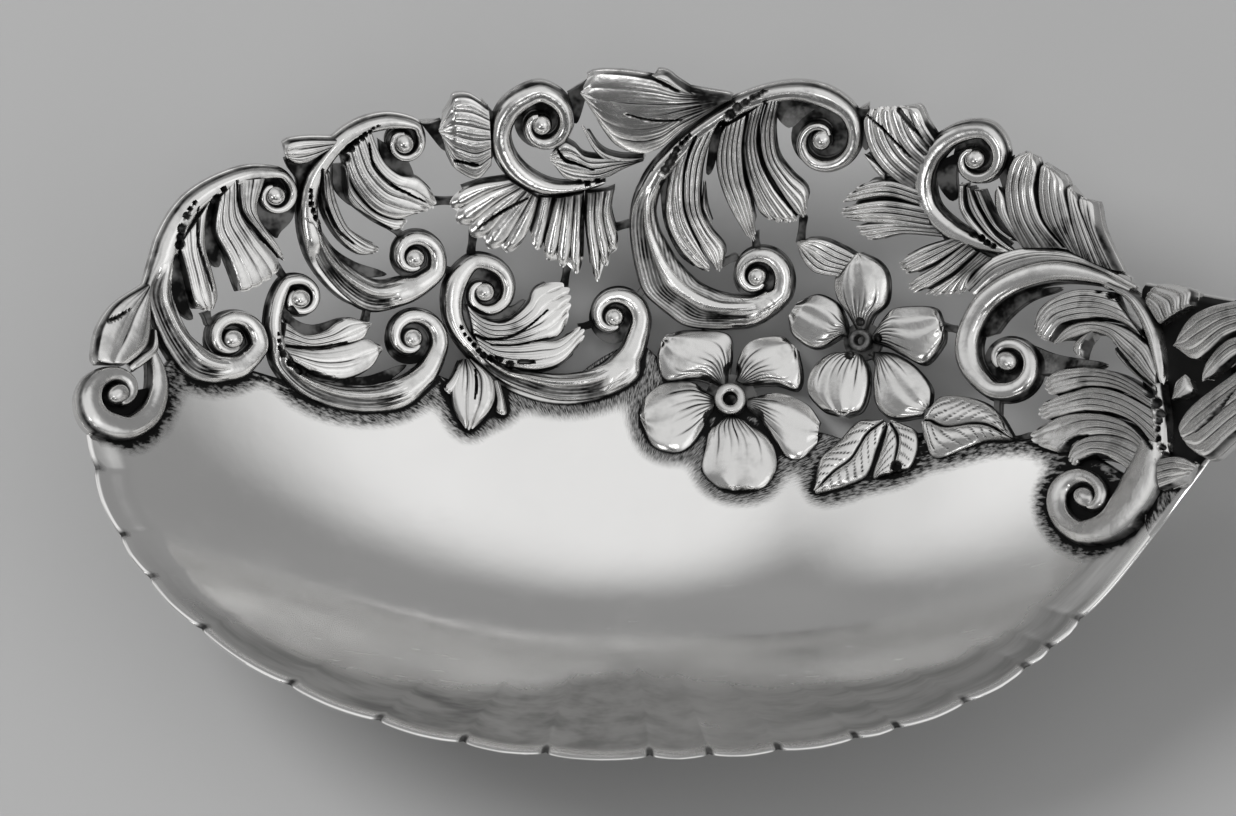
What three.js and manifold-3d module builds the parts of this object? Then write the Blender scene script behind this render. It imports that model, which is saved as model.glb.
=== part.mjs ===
// Silver berry spoon: a broad round bowl whose far half is pierced openwork of acanthus scrolls,
// blossoms and leaf sprays, drawn up at the heel into a neck that carries an arched handle.
// Millimetres. X runs from the bowl's tip to the handle's end, +Y is the openwork side, +Z is up,
// and the origin is the middle of the small flat that the bowl rests on.
import * as THREE from 'three';
import { mergeVertices } from 'three/addons/utils/BufferGeometryUtils.js';
import Module from 'manifold-3d';

const wasm = await Module();
wasm.setup();

// Bowl
const BOWL_TIP_REACH = 46.5;
const BOWL_HEEL_REACH = 44;
const BOWL_HALF_WIDTH = 32.2;
const BOWL_DEPTH = 16;
const REST_HALF_WIDTH = 6.4;
const SHEET_THICKNESS = 1;
const RIM_SCALLOPS = 13;
const RIM_SCALLOP_DEPTH = 0.35;

// Neck, where the bowl is drawn up into the handle
const NECK_REACH = 51.5;
const NECK_HALF_WIDTH = 6.2;
const NECK_RISE = 4.5;
const SHOULDER_START = 36;

// Handle
const OVERALL_LENGTH = 230;
const HANDLE_CREST = 35;
const HANDLE_THICKNESS = 2.6;
const STEM_HALF_WIDTH = 3.5;
const TERMINAL_HALF_WIDTH = 12.2;
const TONGUE_LENGTH = 6;
const TONGUE_THICKNESS = 1.5;

// Chased ornament, heights measured from the front of the sheet
const BAND_RELIEF = 1;
const LOBE_RELIEF = 0.7;
const PETAL_RELIEF = 0.6;
const EYE_RELIEF = 1.2;
const EDGE_RELIEF = 0.15;
const FLANGE = 0.2;
const SHELF_SHARE = 0.8;
const LOBE_ROOT = 1.1;
const LOBE_BASE = 0.3;
const EYE_RADIUS = 0.75;
const EYE_BASE = 0.2;
const BAND_TIP_HALF_WIDTH = 0.3;

// Clearance left for solder between one piece and the next
const SOLDER_GAP = 0.3;

// Form of the bowl: how square its plan is at the tip and the heel, and how the wall sweeps up
const TIP_SQUARENESS = 2.05;
const HEEL_SQUARENESS = 2.45;
const WALL_SWEEP = 1.9;
const NECK_SWEEP = 1.5;
const SHOULDER_SWEEP = 3;

// The ornament is drawn on a board that leans back, facing the openwork wall, for a bowl of this
// size. A bowl of another size stretches the drawing with it.
const BOARD_ANGLE = THREE.MathUtils.degToRad(66);
const DRAWN_FOR = { tipReach: 46.5, heelReach: 44, halfWidth: 32.2 };
const LAID_AT = SHEET_THICKNESS + LOBE_RELIEF / 2;
const DRAPE_ROUNDS = 30;

// Height of the outer face of the bowl above its rest, from the flat up a swept wall to the rim,
// with the heel raised into the neck.
function bowlHeight(x, y) {
  const reach = x < 0 ? BOWL_TIP_REACH : BOWL_HEEL_REACH;
  const square = x < 0 ? TIP_SQUARENESS : HEEL_SQUARENESS;
  const plan = Math.abs(x / reach) ** square + Math.abs(y / BOWL_HALF_WIDTH) ** square;
  const flat = REST_HALF_WIDTH / BOWL_HALF_WIDTH;
  const wall = Math.max(0, (plan ** (1 / square) - flat) / (1 - flat));
  const heel = Math.max(0, (x - SHOULDER_START) / (NECK_REACH - SHOULDER_START));
  return BOWL_DEPTH * wall ** WALL_SWEEP + NECK_RISE * heel ** NECK_SWEEP;
}

function bowlNormal(x, y) {
  const d = 0.01;
  const slopeX = (bowlHeight(x + d, y) - bowlHeight(x - d, y)) / (2 * d);
  const slopeY = (bowlHeight(x, y + d) - bowlHeight(x, y - d)) / (2 * d);
  return new THREE.Vector3(-slopeX, -slopeY, 1).normalize();
}

// A point of the bowl over plan position x, y, raised h off the outer face.
function bowlPoint(x, y, h) {
  return new THREE.Vector3(x, y, bowlHeight(x, y)).addScaledVector(bowlNormal(x, y), h);
}

const tipScale = BOWL_TIP_REACH / DRAWN_FOR.tipReach;
const heelScale = BOWL_HEEL_REACH / DRAWN_FOR.heelReach;
const upScale = BOWL_HALF_WIDTH / DRAWN_FOR.halfWidth;

// Lays a point of the board drawing on the bowl: u along the spoon, v up the board from the
// level of the rim's middle, h off the outer face.
function onBowl(u, v, h) {
  const boardX = u * (u < 0 ? tipScale : heelScale);
  const boardV = v * upScale;
  let x = boardX;
  let y = boardV / Math.sin(BOARD_ANGLE);
  for (let round = 0; round < DRAPE_ROUNDS; round += 1) {
    const normal = bowlNormal(x, y);
    const rise = bowlHeight(x, y) - BOWL_DEPTH + LAID_AT * normal.z;
    x = boardX - LAID_AT * normal.x;
    y = (boardV - rise * Math.cos(BOARD_ANGLE)) / Math.sin(BOARD_ANGLE) - LAID_AT * normal.y;
  }
  return bowlPoint(x, y, h);
}

// A closed geometry becomes a solid that can be joined and cut.
function toSolid(geometry) {
  geometry.deleteAttribute('normal');
  geometry.deleteAttribute('uv');
  const merged = mergeVertices(geometry, 1e-4);
  const index = Array.from(merged.index.array);
  const kept = [];
  for (let i = 0; i < index.length; i += 3) {
    const [a, b, c] = index.slice(i, i + 3);
    if (a !== b && b !== c && c !== a) kept.push(a, b, c);
  }
  const vertProperties = new Float32Array(merged.attributes.position.array);
  return new wasm.Manifold(new wasm.Mesh({ numProp: 3, vertProperties, triVerts: new Uint32Array(kept) }));
}

function toGeometry(solid) {
  const mesh = solid.getMesh();
  const geometry = new THREE.BufferGeometry();
  geometry.setAttribute('position', new THREE.BufferAttribute(new Float32Array(mesh.vertProperties), 3));
  geometry.setIndex(new THREE.BufferAttribute(new Uint32Array(mesh.triVerts), 1));
  geometry.computeVertexNormals();
  return geometry;
}

// Skins a run of closed sections, each a ring of points counted anticlockwise about the way the
// run goes, and closes both ends on the middle of the end ring.
function loft(rings) {
  const count = rings[0].length;
  const points = rings.flat();
  const index = [];
  for (let i = 0; i + 1 < rings.length; i += 1) {
    for (let j = 0; j < count; j += 1) {
      const a = i * count + j;
      const b = i * count + ((j + 1) % count);
      index.push(a, b, a + count, b, b + count, a + count);
    }
  }
  for (const [start, turn] of [[0, -1], [points.length - count, 1]]) {
    const middle = new THREE.Vector3();
    for (let j = 0; j < count; j += 1) middle.addScaledVector(points[start + j], 1 / count);
    const hub = points.push(middle) - 1;
    for (let j = 0; j < count; j += 1) {
      const a = start + j;
      const b = start + ((j + 1) % count);
      index.push(...(turn > 0 ? [hub, a, b] : [hub, b, a]));
    }
  }
  const geometry = new THREE.BufferGeometry();
  geometry.setAttribute('position', new THREE.Float32BufferAttribute(points.flatMap((p) => p.toArray()), 3));
  geometry.setIndex(index);
  return toSolid(geometry);
}

function smooth(points) {
  return new THREE.CatmullRomCurve3(points.map((p) => new THREE.Vector3(...p)), false, 'catmullrom');
}

// How far a cutter runs past both faces of the sheet.
const CUT_PAST = 4;

// A blade runs through [u, v, half width] points of a drawing. Its section is a ridge on a flanged
// base, with a shelf along each side where it has an edge height, or a plain upright slab when it
// is grown into a cutter.
function blade(chart, stroke, grow = 0) {
  const curve = smooth(stroke.points);
  const rings = [];
  for (let i = 0; i <= stroke.steps; i += 1) {
    const here = curve.getPoint(i / stroke.steps);
    const along = curve.getTangent(i / stroke.steps).setZ(0).normalize();
    const lead = i === 0 ? -grow - stroke.root : i === stroke.steps ? grow : 0;
    const foot = here.z + FLANGE + grow;
    const shelf = SHELF_SHARE * here.z;
    const ridge = [0, stroke.crown];
    const top = stroke.edge ? [[shelf, stroke.edge], ridge, [-shelf, stroke.edge]] : [ridge];
    const relief = [[-foot, stroke.base], [foot, stroke.base], ...top];
    const slab = [[-foot, -CUT_PAST], [foot, -CUT_PAST], [foot, CUT_PAST], [-foot, CUT_PAST]];
    const section = grow > 0 ? slab : relief;
    rings.push(section.map(([side, h]) => chart(
      here.x + along.x * lead - along.y * side,
      here.y + along.y * lead + along.x * side,
      h,
    )));
  }
  return loft(rings);
}

// A turned button at a point of a drawing, from a [radius, height] profile that starts and ends on
// its axis.
function button(chart, stroke, grow = 0) {
  const reach = Math.max(...stroke.profile.map(([r]) => r)) + grow;
  const slab = [[0, -CUT_PAST], [reach, -CUT_PAST], [reach, CUT_PAST], [0, CUT_PAST]];
  const profile = (grow > 0 ? slab : stroke.profile).map(([r, h]) => new THREE.Vector2(r, h));
  const geometry = new THREE.LatheGeometry(profile, stroke.sides);
  const position = geometry.attributes.position;
  for (let i = 0; i < position.count; i += 1) {
    const p = chart(stroke.at[0] + position.getX(i), stroke.at[1] - position.getZ(i), position.getY(i));
    position.setXYZ(i, p.x, p.y, p.z);
  }
  return toSolid(geometry);
}

const shape = (chart, stroke, grow) => (stroke.points ? blade : button)(chart, stroke, grow);
const joined = (solids) => solids.reduce((whole, next) => whole.add(next));

// Strokes that the ornaments are drawn with
const TOP = SHEET_THICKNESS;

// A lobe of a leaf, ridged along its middle; root reaches back under what it springs from.
function lobe(points, { root = 0, layer = 0 } = {}) {
  return { points, steps: 4, root, base: LOBE_BASE + 0.1 * layer, crown: TOP + LOBE_RELIEF };
}

const lobes = (list, root = 0) => list.map((points, i) => lobe(points, { root, layer: i % 3 }));

// Points winding from the end of a band in to the eye of a volute, turns counted clockwise on the
// board, the radius falling evenly with the angle.
function volute(join, [eyeU, eyeV], turns) {
  const start = Math.atan2(join[1] - eyeV, join[0] - eyeU);
  const outer = Math.hypot(join[0] - eyeU, join[1] - eyeV);
  const count = Math.ceil(Math.abs(turns) * 5);
  return Array.from({ length: count }, (_, i) => {
    const share = (i + 1) / count;
    const radius = outer + (0.7 * EYE_RADIUS - outer) * share;
    const angle = start - 2 * Math.PI * turns * share;
    const halfWidth = join[2] + (BAND_TIP_HALF_WIDTH - join[2]) * share;
    return [eyeU + radius * Math.cos(angle), eyeV + radius * Math.sin(angle), halfWidth];
  });
}

// The round eye that the band winds in to, and the whole round of the volute, which is kept clear
// of other pieces but is itself open between the turns.
function voluteEye(join, [eyeU, eyeV]) {
  const reach = Math.hypot(join[0] - eyeU, join[1] - eyeV);
  const rise = TOP + EYE_RELIEF;
  const dome = [
    [0, EYE_BASE], [EYE_RADIUS, EYE_BASE], [EYE_RADIUS, TOP + EDGE_RELIEF], [0.5 * EYE_RADIUS, rise],
    [0, rise],
  ];
  return [
    { at: [eyeU, eyeV], sides: 6, profile: dome },
    { at: [eyeU, eyeV], sides: 9, profile: [[reach, 0]], open: true },
  ];
}

// A scroll is one band, rounded on top, that winds into a volute at either end or at both.
function scroll({ from, through, to }) {
  const first = through[0];
  const last = through[through.length - 1];
  const head = from ? volute(first, from.eye, from.turns).reverse() : [];
  const tail = to ? volute(last, to.eye, to.turns) : [];
  const points = [...head, ...through, ...tail];
  return [
    { points, steps: points.length - 1, root: 0, base: 0, edge: TOP + EDGE_RELIEF, crown: TOP + BAND_RELIEF },
    ...(from ? voluteEye(first, from.eye) : []),
    ...(to ? voluteEye(last, to.eye) : []),
  ];
}

// A blossom: round petals about a pierced boss, each petal given by its tip and half width.
function blossom([centreU, centreV, bossRadius], petals) {
  const outline = [[0.18, 0.3], [0.45, 0.8], [0.72, 1], [0.92, 0.72], [1, 0.38]];
  const blades = petals.map(([tipU, tipV, halfWidth], i) => ({
    points: outline.map(([out, wide]) => [
      centreU + (tipU - centreU) * out,
      centreV + (tipV - centreV) * out,
      halfWidth * wide,
    ]),
    steps: 5,
    root: 0,
    base: 0.1 * (i % 3),
    edge: TOP + EDGE_RELIEF,
    crown: TOP + PETAL_RELIEF,
  }));
  const pit = 0.45 * bossRadius;
  const rise = TOP + EYE_RELIEF;
  const lip = 0.75 * bossRadius;
  const profile = [
    [0, LOBE_BASE], [bossRadius, LOBE_BASE], [bossRadius, TOP], [lip, rise], [pit, rise], [pit, TOP],
    [0, TOP],
  ];
  return [...blades, { at: [centreU, centreV], sides: 8, profile }];
}

// The pierced and chased border, drawn on the board. A piece lower in the list is cut back to
// leave solder room round the pieces above it.
const ornaments = {
  acanthus_scroll_large: [
    ...scroll({
      from: { eye: [16.4, 23.5], turns: 1.25 },
      through: [
        [18.3, 26, 0.7], [16.3, 27.1, 0.8], [13.6, 27.5, 0.7], [10, 26.6, 0.7], [6.4, 24.5, 0.7],
        [3.8, 22.2, 0.8],
        [1.8, 19.6, 0.9], [1.1, 16.3, 1], [1.6, 12.9, 1.1], [3.4, 10.1, 1.3], [6.4, 8.8, 1.3],
        [10, 8.8, 1.2], [12.6, 10, 0.9],
      ],
      to: { eye: [10.9, 11.8], turns: -1.2 },
    }),
    ...lobes([
      [[13.6, 26.9, 0.6], [12.8, 23.7, 1], [13.1, 19.9, 1], [14.7, 16.4, 0.3]],
      [[11.2, 26.2, 0.5], [10.9, 22.9, 0.7], [11.7, 19.2, 0.8], [13.1, 16, 0.3]],
      [[9.1, 25.7, 0.8], [8.7, 22.4, 1.3], [9.2, 18.6, 1], [10.3, 15.6, 0.3]],
      [[6.4, 23.8, 0.7], [5.5, 20.1, 0.9], [6.2, 16.2, 0.9], [7.8, 12.2, 0.3]],
      [[4.2, 21.8, 0.6], [3.6, 18.2, 0.8], [4.8, 14.6, 0.9], [6.8, 12, 0.3]],
      [[6.7, 20.6, 0.3], [6.8, 18, 0.5], [7.4, 15.5, 0.2]],
    ], LOBE_ROOT),
  ],
  flower_lower: blossom([8.7, 1.2, 1.4], [
    [3.7, 6.6, 3.1], [13.8, 6.3, 2.9], [1, -0.9, 3], [9.4, -6.5, 3.2], [15.9, -2.2, 2.8],
  ]),
  flower_upper: blossom([19.8, 6.3, 1.6], [
    [19.6, 13.9, 2.5], [13.4, 8.3, 2.5], [26.9, 6.8, 2.6], [16.3, 0.3, 2.7], [24.2, -0.4, 2.5],
  ]),
  acanthus_scroll_4: [
    ...scroll({
      from: { eye: [-12.5, 10.5], turns: 1.2 },
      through: [
        [-13.6, 12.9, 0.6], [-15, 11, 0.7], [-15.1, 8.4, 0.7], [-13.9, 6.1, 0.7], [-11.8, 4.1, 0.8],
        [-9.1, 2.6, 0.9],
        [-5.8, 2.2, 1.1], [-2.6, 2.8, 1.1], [-0.3, 4.7, 1], [0.7, 7, 0.9],
      ],
      to: { eye: [-1.4, 8.3], turns: -1.1 },
    }),
    ...lobes([
      [[-13.8, 8.3, 0.4], [-11.1, 7.4, 0.8], [-8, 9.1, 0.9], [-5.5, 11.1, 0.3]],
      [[-13.1, 6.3, 0.3], [-10.2, 5.6, 0.9], [-7, 7.1, 0.9], [-5.1, 8.8, 0.3]],
      [[-11.3, 4.6, 0.3], [-8.9, 4.5, 0.5], [-6, 5.5, 0.7], [-4, 7.3, 0.3]],
    ], LOBE_ROOT),
  ],
  acanthus_scroll_3: [
    ...scroll({
      from: { eye: [-28.3, 9.9], turns: 1.2 },
      through: [
        [-29.5, 11.1, 0.5], [-30.2, 9.4, 0.6], [-30.4, 7.1, 0.6], [-29.5, 4.6, 0.8], [-27.2, 2.4, 0.9],
        [-23.7, 1.4, 1],
        [-20.1, 1.8, 1.1], [-17.7, 3.3, 0.9], [-16.5, 5.4, 0.8],
      ],
      to: { eye: [-18.7, 6.5], turns: -1.15 },
    }),
    ...lobes([
      [[-29.8, 8.3, 0.5], [-28, 6.5, 0.8], [-25.4, 6.9, 0.8], [-22.2, 8.2, 0.3]],
      [[-29.6, 5.9, 0.3], [-27.6, 4.8, 0.7], [-24.6, 5.4, 0.8], [-22.1, 7, 0.3]],
      [[-28.5, 3.9, 0.3], [-26.4, 3.5, 0.5], [-23.8, 4.3, 0.7], [-21.5, 5.7, 0.3]],
    ], LOBE_ROOT),
  ],
  acanthus_scroll_2: [
    ...scroll({
      from: { eye: [-19.4, 23.2], turns: 1.1 },
      through: [
        [-18.6, 24.7, 0.4], [-20.9, 24.9, 0.5], [-23.5, 24.1, 0.5], [-25.6, 22.3, 0.5],
        [-27.2, 19.6, 0.6], [-27.5, 16.9, 0.7],
        [-26.9, 14.2, 0.8], [-25.5, 12.1, 0.9], [-23.6, 10.5, 0.9], [-21.1, 10.1, 1],
        [-18.9, 10.6, 0.9], [-16.9, 11.9, 0.8],
      ],
      to: { eye: [-18.5, 13.4], turns: -1.15 },
    }),
    ...lobes([
      [[-21.8, 23.5, 0.4], [-21.5, 21.6, 0.8], [-20.2, 19.9, 0.9], [-18.1, 19, 0.7], [-16.2, 18, 0.3]],
      [[-23.6, 22.8, 0.5], [-23, 20.9, 0.8], [-21.5, 18.8, 0.9], [-19.3, 17.7, 0.6], [-16.7, 17.7, 0.3]],
      [[-24.4, 21.6, 0.4], [-24, 19.6, 0.6], [-22.5, 17.6, 0.7], [-19.8, 16, 0.3]],
      [[-25.9, 20.6, 0.5], [-25.1, 18.1, 0.8], [-23.5, 15.8, 0.8], [-21.3, 14.4, 0.3]],
      [[-26.8, 19.4, 0.4], [-26.4, 17.2, 0.5], [-24.9, 15, 0.6], [-22.4, 13.6, 0.3]],
    ], LOBE_ROOT),
  ],
  acanthus_scroll_1: [
    ...scroll({
      from: { eye: [-30.4, 18.7], turns: 1.1 },
      through: [
        [-30.1, 20.5, 0.4], [-32.5, 20.4, 0.6], [-35.3, 19.3, 0.7], [-37.5, 17.6, 0.8],
        [-39, 15.1, 0.9], [-39.7, 12.6, 0.9],
        [-39.7, 10, 0.9], [-39.1, 7.6, 0.9], [-37.8, 5.4, 0.9], [-35.7, 4.1, 0.9], [-33.4, 4.1, 0.9],
        [-31.8, 5.6, 0.7],
      ],
      to: { eye: [-34, 6.4], turns: -1.1 },
    }),
    ...lobes([
      [[-32.9, 19.9, 0.7], [-32.9, 18, 0.9], [-31.8, 15.8, 0.9], [-29.8, 12.9, 0.3]],
      [[-34.8, 19.2, 0.7], [-34.6, 16.9, 1], [-33.2, 14.5, 1], [-30, 12.2, 0.3]],
      [[-35.7, 17.7, 0.5], [-35.6, 15.8, 0.6], [-34.7, 13.6, 0.8], [-32.6, 10.4, 0.3]],
      [[-36.8, 17.5, 0.4], [-36.9, 15.5, 0.5], [-36.5, 12.8, 0.6], [-35.5, 9.4, 0.3]],
      [[-38.1, 15.8, 0.5], [-38.1, 13.8, 0.7], [-37.4, 11.2, 0.7], [-36.3, 8.7, 0.3]],
    ], LOBE_ROOT),
  ],
  end_scroll: scroll({
    through: [
      [-40.7, 5.4, 0.3], [-40.2, 3.6, 0.6], [-40.2, 1.7, 0.7], [-41, -0.1, 0.9], [-42.7, -1.1, 0.9], [-44.7, -0.6, 0.9],
    ],
    to: { eye: [-43.6, 1.7], turns: 1.05 },
  }),
  end_leaf: lobes([
    [[-41.4, 11.1, 0.3], [-42.9, 9, 1.2], [-43.6, 6.8, 1.8], [-43.9, 4.9, 1.2], [-44, 4.2, 0.4]],
    [[-41.6, 8.3, 0.3], [-41.4, 6.6, 0.4], [-41.8, 4.8, 0.5], [-42.8, 3.6, 0.3]],
  ]),
  rim_bud: lobes([[[-29.6, 22.2, 0.3], [-28.4, 22.5, 1], [-27.2, 23, 0.9], [-25.8, 23.7, 0.3]]]),
  rim_c_scroll: [
    ...scroll({
      from: { eye: [-7.6, 24.8], turns: 1.15 },
      through: [
        [-8.1, 27.4, 0.7], [-10.2, 26.1, 0.9], [-11.1, 23.9, 0.9], [-10.4, 21.6, 0.9],
        [-8.5, 19.9, 0.7], [-5.8, 19.3, 0.4],
        [-2.1, 19.9, 0.3],
      ],
    }),
    lobe([[-7.2, 22.2, 0.4], [-5.1, 21.8, 1.1], [-2.4, 21.2, 0.9], [1, 21.8, 0.3]]),
  ],
  shell_leaf: lobes([
    [[-15.3, 26.1, 0.4], [-13.8, 26.5, 1.1], [-12, 26.4, 0.4]],
    [[-16.5, 24, 0.8], [-14.5, 23.7, 2], [-12.3, 23.5, 0.9]],
    [[-15.8, 21.3, 0.3], [-13.8, 20.9, 0.9], [-11.9, 21.2, 0.3]],
  ]),
  leaf_fan_left: lobes([
    [[-9.1, 19, 0.4], [-12.2, 18.8, 0.9], [-14.5, 18.4, 0.7], [-16.1, 18.5, 0.3]],
    [[-8.7, 18.5, 0.4], [-11.2, 17, 1], [-14.2, 15.1, 0.5]],
    [[-8.4, 18, 0.4], [-9.9, 16, 1], [-12.1, 14.3, 0.5]],
    [[-7.9, 17.9, 0.3], [-8.5, 15.6, 0.7], [-9.9, 13.7, 0.3]],
  ]),
  leaf_fan_right: lobes([
    [[-6.6, 18.9, 0.5], [-6.8, 16.1, 0.9], [-7, 13.3, 0.3]],
    [[-5.2, 18.9, 0.6], [-5.1, 15.2, 1], [-5, 12.1, 0.3]],
    [[-3.6, 18.9, 0.6], [-3.3, 14.8, 1], [-2.8, 11.1, 0.3]],
    [[-2.3, 19.1, 0.5], [-1.7, 17.2, 0.8], [-1.5, 15, 0.3]],
  ]),
  trefoil_leaf: lobes([
    [[-14.3, 4.4, 0.4], [-13.9, 2.2, 1.3], [-13.7, 0.5, 1.4], [-14, -1.4, 0.3]],
    [[-14.7, 4.1, 0.3], [-15.3, 2.9, 0.6], [-16.1, 1.7, 0.3]],
    [[-13.3, 3.7, 0.3], [-11.9, 1.9, 0.7], [-10.8, -0.2, 0.3]],
  ]),
  rim_leaf_large: lobes([
    [[6.1, 26, 0.5], [2.5, 26.3, 2.4], [-0.9, 26.4, 2.7], [-4.1, 27.4, 1]],
    [[7.9, 27.1, 0.3], [5.8, 27.3, 0.8], [3.5, 28.6, 0.8], [2.3, 29.1, 0.3]],
    [[2.3, 23.1, 0.4], [-0.9, 23, 0.7], [-3.7, 24.7, 0.4]],
  ]),
  small_leaf: lobes([[[18, 12.5, 0.7], [16.6, 13.3, 1.5], [15.4, 13.9, 1.2], [14.2, 14.8, 0.3]]]),
  leaf_lower_left: lobes([
    [[22.3, -1.1, 0.7], [20.2, -3, 2.1], [17.8, -4.8, 1.7], [15.6, -6.8, 0.3]],
    [[22.9, -1, 0.7], [23.2, -2.7, 1.4], [22.3, -5.1, 0.6]],
  ]),
  leaf_lower_right: lobes([[[25, -1.4, 0.8], [27.2, -1.1, 2.2], [29.7, -0.9, 1.7], [32.6, -2, 0.3]]]),
  c_scroll_right_top: [
    ...scroll({
      from: { eye: [29.5, 21.8], turns: 1.1 },
      through: [
        [30, 24.2, 0.7], [27.8, 23.8, 0.8], [25.9, 22.2, 0.9], [25.1, 19.9, 0.8], [25.6, 17.6, 0.8],
        [27.2, 15.9, 0.8],
        [29.5, 14.7, 0.6], [32.4, 13.9, 0.3],
      ],
    }),
    ...lobes([
      [[28.3, 19.2, 0.3], [28.7, 17.5, 0.4], [29.9, 15.1, 0.4]],
      [[29, 19.2, 0.3], [30, 17, 0.5], [32.3, 14.3, 0.3]],
      [[30, 18.7, 0.3], [31.1, 16.7, 0.5], [32.9, 14.6, 0.3]],
    ]),
  ],
  c_scroll_large_right: scroll({
    through: [
      [42.6, 10.5, 0.3], [39.7, 11.7, 0.6], [36.2, 12.2, 0.9], [32.8, 11.3, 1], [30.2, 9.4, 1],
      [28.9, 6.7, 1], [29, 4.3, 1],
      [30.5, 2.4, 0.8],
    ],
    to: { eye: [32.2, 4.5], turns: -1.15 },
  }),
  spray_up: lobes([
    [[23.6, 19.9, 0.5], [22.3, 22.8, 1.4], [21.2, 25.2, 1.3], [20.8, 26.5, 0.7]],
    [[24.8, 21.1, 0.4], [24.1, 23.7, 0.8], [22.9, 26.4, 0.4]],
    [[25.8, 22.8, 0.3], [25.2, 24.7, 0.5], [24.2, 26.4, 0.4]],
    [[23.6, 19, 0.3], [21.7, 20.7, 0.5], [20.1, 22.2, 0.3]],
  ]),
  spray_left: lobes([
    [[24.6, 18, 0.4], [22.1, 19.3, 0.7], [19.4, 19.9, 0.3]],
    [[25, 17.2, 0.5], [21.6, 17.9, 0.9], [17.8, 17.8, 0.5]],
    [[25.1, 16.3, 0.4], [21.2, 16.4, 0.6], [18.7, 16.5, 0.3]],
    [[25.6, 15.4, 0.5], [22.9, 15.4, 0.7], [20.4, 14.8, 0.3]],
  ]),
  spray_low: lobes([
    [[28.2, 14.8, 0.5], [25.5, 14, 0.6], [22.9, 13.2, 0.4]],
    [[29.2, 14.3, 0.5], [26.5, 12.8, 0.9], [24.1, 10.5, 0.6]],
    [[30, 13.6, 0.4], [28, 12.2, 0.6], [26, 10.2, 0.3]],
    [[30.7, 12.9, 0.4], [29.2, 11.4, 0.6], [27.8, 10.1, 0.3]],
  ]),
  spray_right: lobes([
    [[36.8, 13.8, 0.4], [34.9, 16.9, 1.1], [33.7, 19.9, 1.4], [34, 22.4, 0.7]],
    [[38.7, 12.9, 0.3], [37.2, 16.1, 0.9], [35.9, 19, 0.9], [35.5, 21.3, 0.4]],
    [[40.1, 12.8, 0.3], [38.7, 15.8, 0.7], [38.1, 18.6, 0.4]],
    [[43.1, 11.2, 0.3], [40.9, 13.3, 0.4], [39.7, 15.6, 0.5], [39.2, 18.3, 0.3]],
    [[36.6, 13.7, 0.3], [34.1, 14.5, 0.3], [32.4, 16.7, 0.6], [31.7, 19.2, 0.3]],
  ]),
  acanthus_right_upper: lobes([
    [[41.4, 10, 0.3], [43.5, 8.2, 0.4], [44.8, 5.4, 0.4], [45.2, 1.9, 0.3]],
    [[43.8, 6.8, 0.4], [41.2, 9, 1], [37.8, 9.1, 1.1], [34.6, 7.5, 0.7]],
    [[44.8, 2.4, 0.3], [42.9, 5.4, 1], [39.9, 7.3, 0.8], [35.7, 6.5, 0.7]],
    [[44.2, 3.2, 0.3], [41.9, 5.3, 0.7], [39.6, 6.5, 0.4], [37.7, 5.4, 0.3]],
  ]),
  acanthus_right_lower: [
    ...scroll({
      through: [
        [45.2, 0.9, 0.3], [45.1, -2.2, 0.4], [44.1, -4.9, 0.6], [42.9, -7.2, 0.7], [41, -9.3, 0.8], [38.5, -9.9, 0.9],
      ],
      to: { eye: [38.6, -7.1], turns: 1.15 },
    }),
    ...lobes([
      [[44.7, -0.2, 0.3], [42, 2, 0.8], [38.6, 3.1, 1], [35.7, 2.2, 0.7]],
      [[44.7, -1.5, 0.3], [42, 0.4, 0.9], [38.2, 1, 1], [34.2, -1.1, 0.8]],
      [[44.3, -4.1, 0.5], [42, -1.9, 1], [38.6, -0.9, 0.9], [35.3, -2.5, 0.7]],
      [[42.3, -4.4, 0.4], [40.8, -2.9, 0.8], [38.9, -2.7, 0.7], [37.5, -4.1, 0.3]],
    ]),
  ],
};

// Leaves laid on the front of the neck, clear of the sheet by the solder room
const neckLeaves = {
  shoulder_leaf_far: lobes([[[44.9, 8.9, 0.4], [45.9, 9.7, 1], [47.4, 10.6, 0.5]]]),
  shoulder_leaf_middle: lobes([
    [[46.4, 5.7, 0.5], [48.8, 6.7, 1.7], [51.8, 7.8, 1]],
    [[48.7, 2.8, 0.3], [49.9, 4.5, 0.9], [51, 6.5, 0.5]],
  ]),
  shoulder_leaf_near: lobes([
    [[47, -2, 1], [48.9, 0, 2], [52, 3.2, 1.4]],
    [[47.2, -2.2, 0.6], [46.8, -3.9, 0.8], [48, -4.8, 0.3]],
  ]),
};

function raised(stroke) {
  const seat = SHEET_THICKNESS + SOLDER_GAP;
  return { ...stroke, base: stroke.base + seat - LOBE_BASE, crown: stroke.crown + seat - TOP };
}

// Pierces and chases one list of pieces, each cut back from those already made.
function chase(drawn, dress) {
  const made = [];
  for (const [name, strokes] of Object.entries(drawn)) {
    const dressed = strokes.map(dress);
    const metal = dressed.filter((stroke) => !stroke.open);
    let solid = joined(metal.map((stroke) => shape(onBowl, stroke, 0)));
    for (const earlier of made) solid = solid.subtract(earlier.room);
    const room = joined(dressed.map((stroke) => shape(onBowl, stroke, SOLDER_GAP)));
    made.push({ name, solid, room });
  }
  return made;
}

const border = chase(ornaments, (stroke) => stroke);
const shoulder = chase(neckLeaves, raised);

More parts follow.
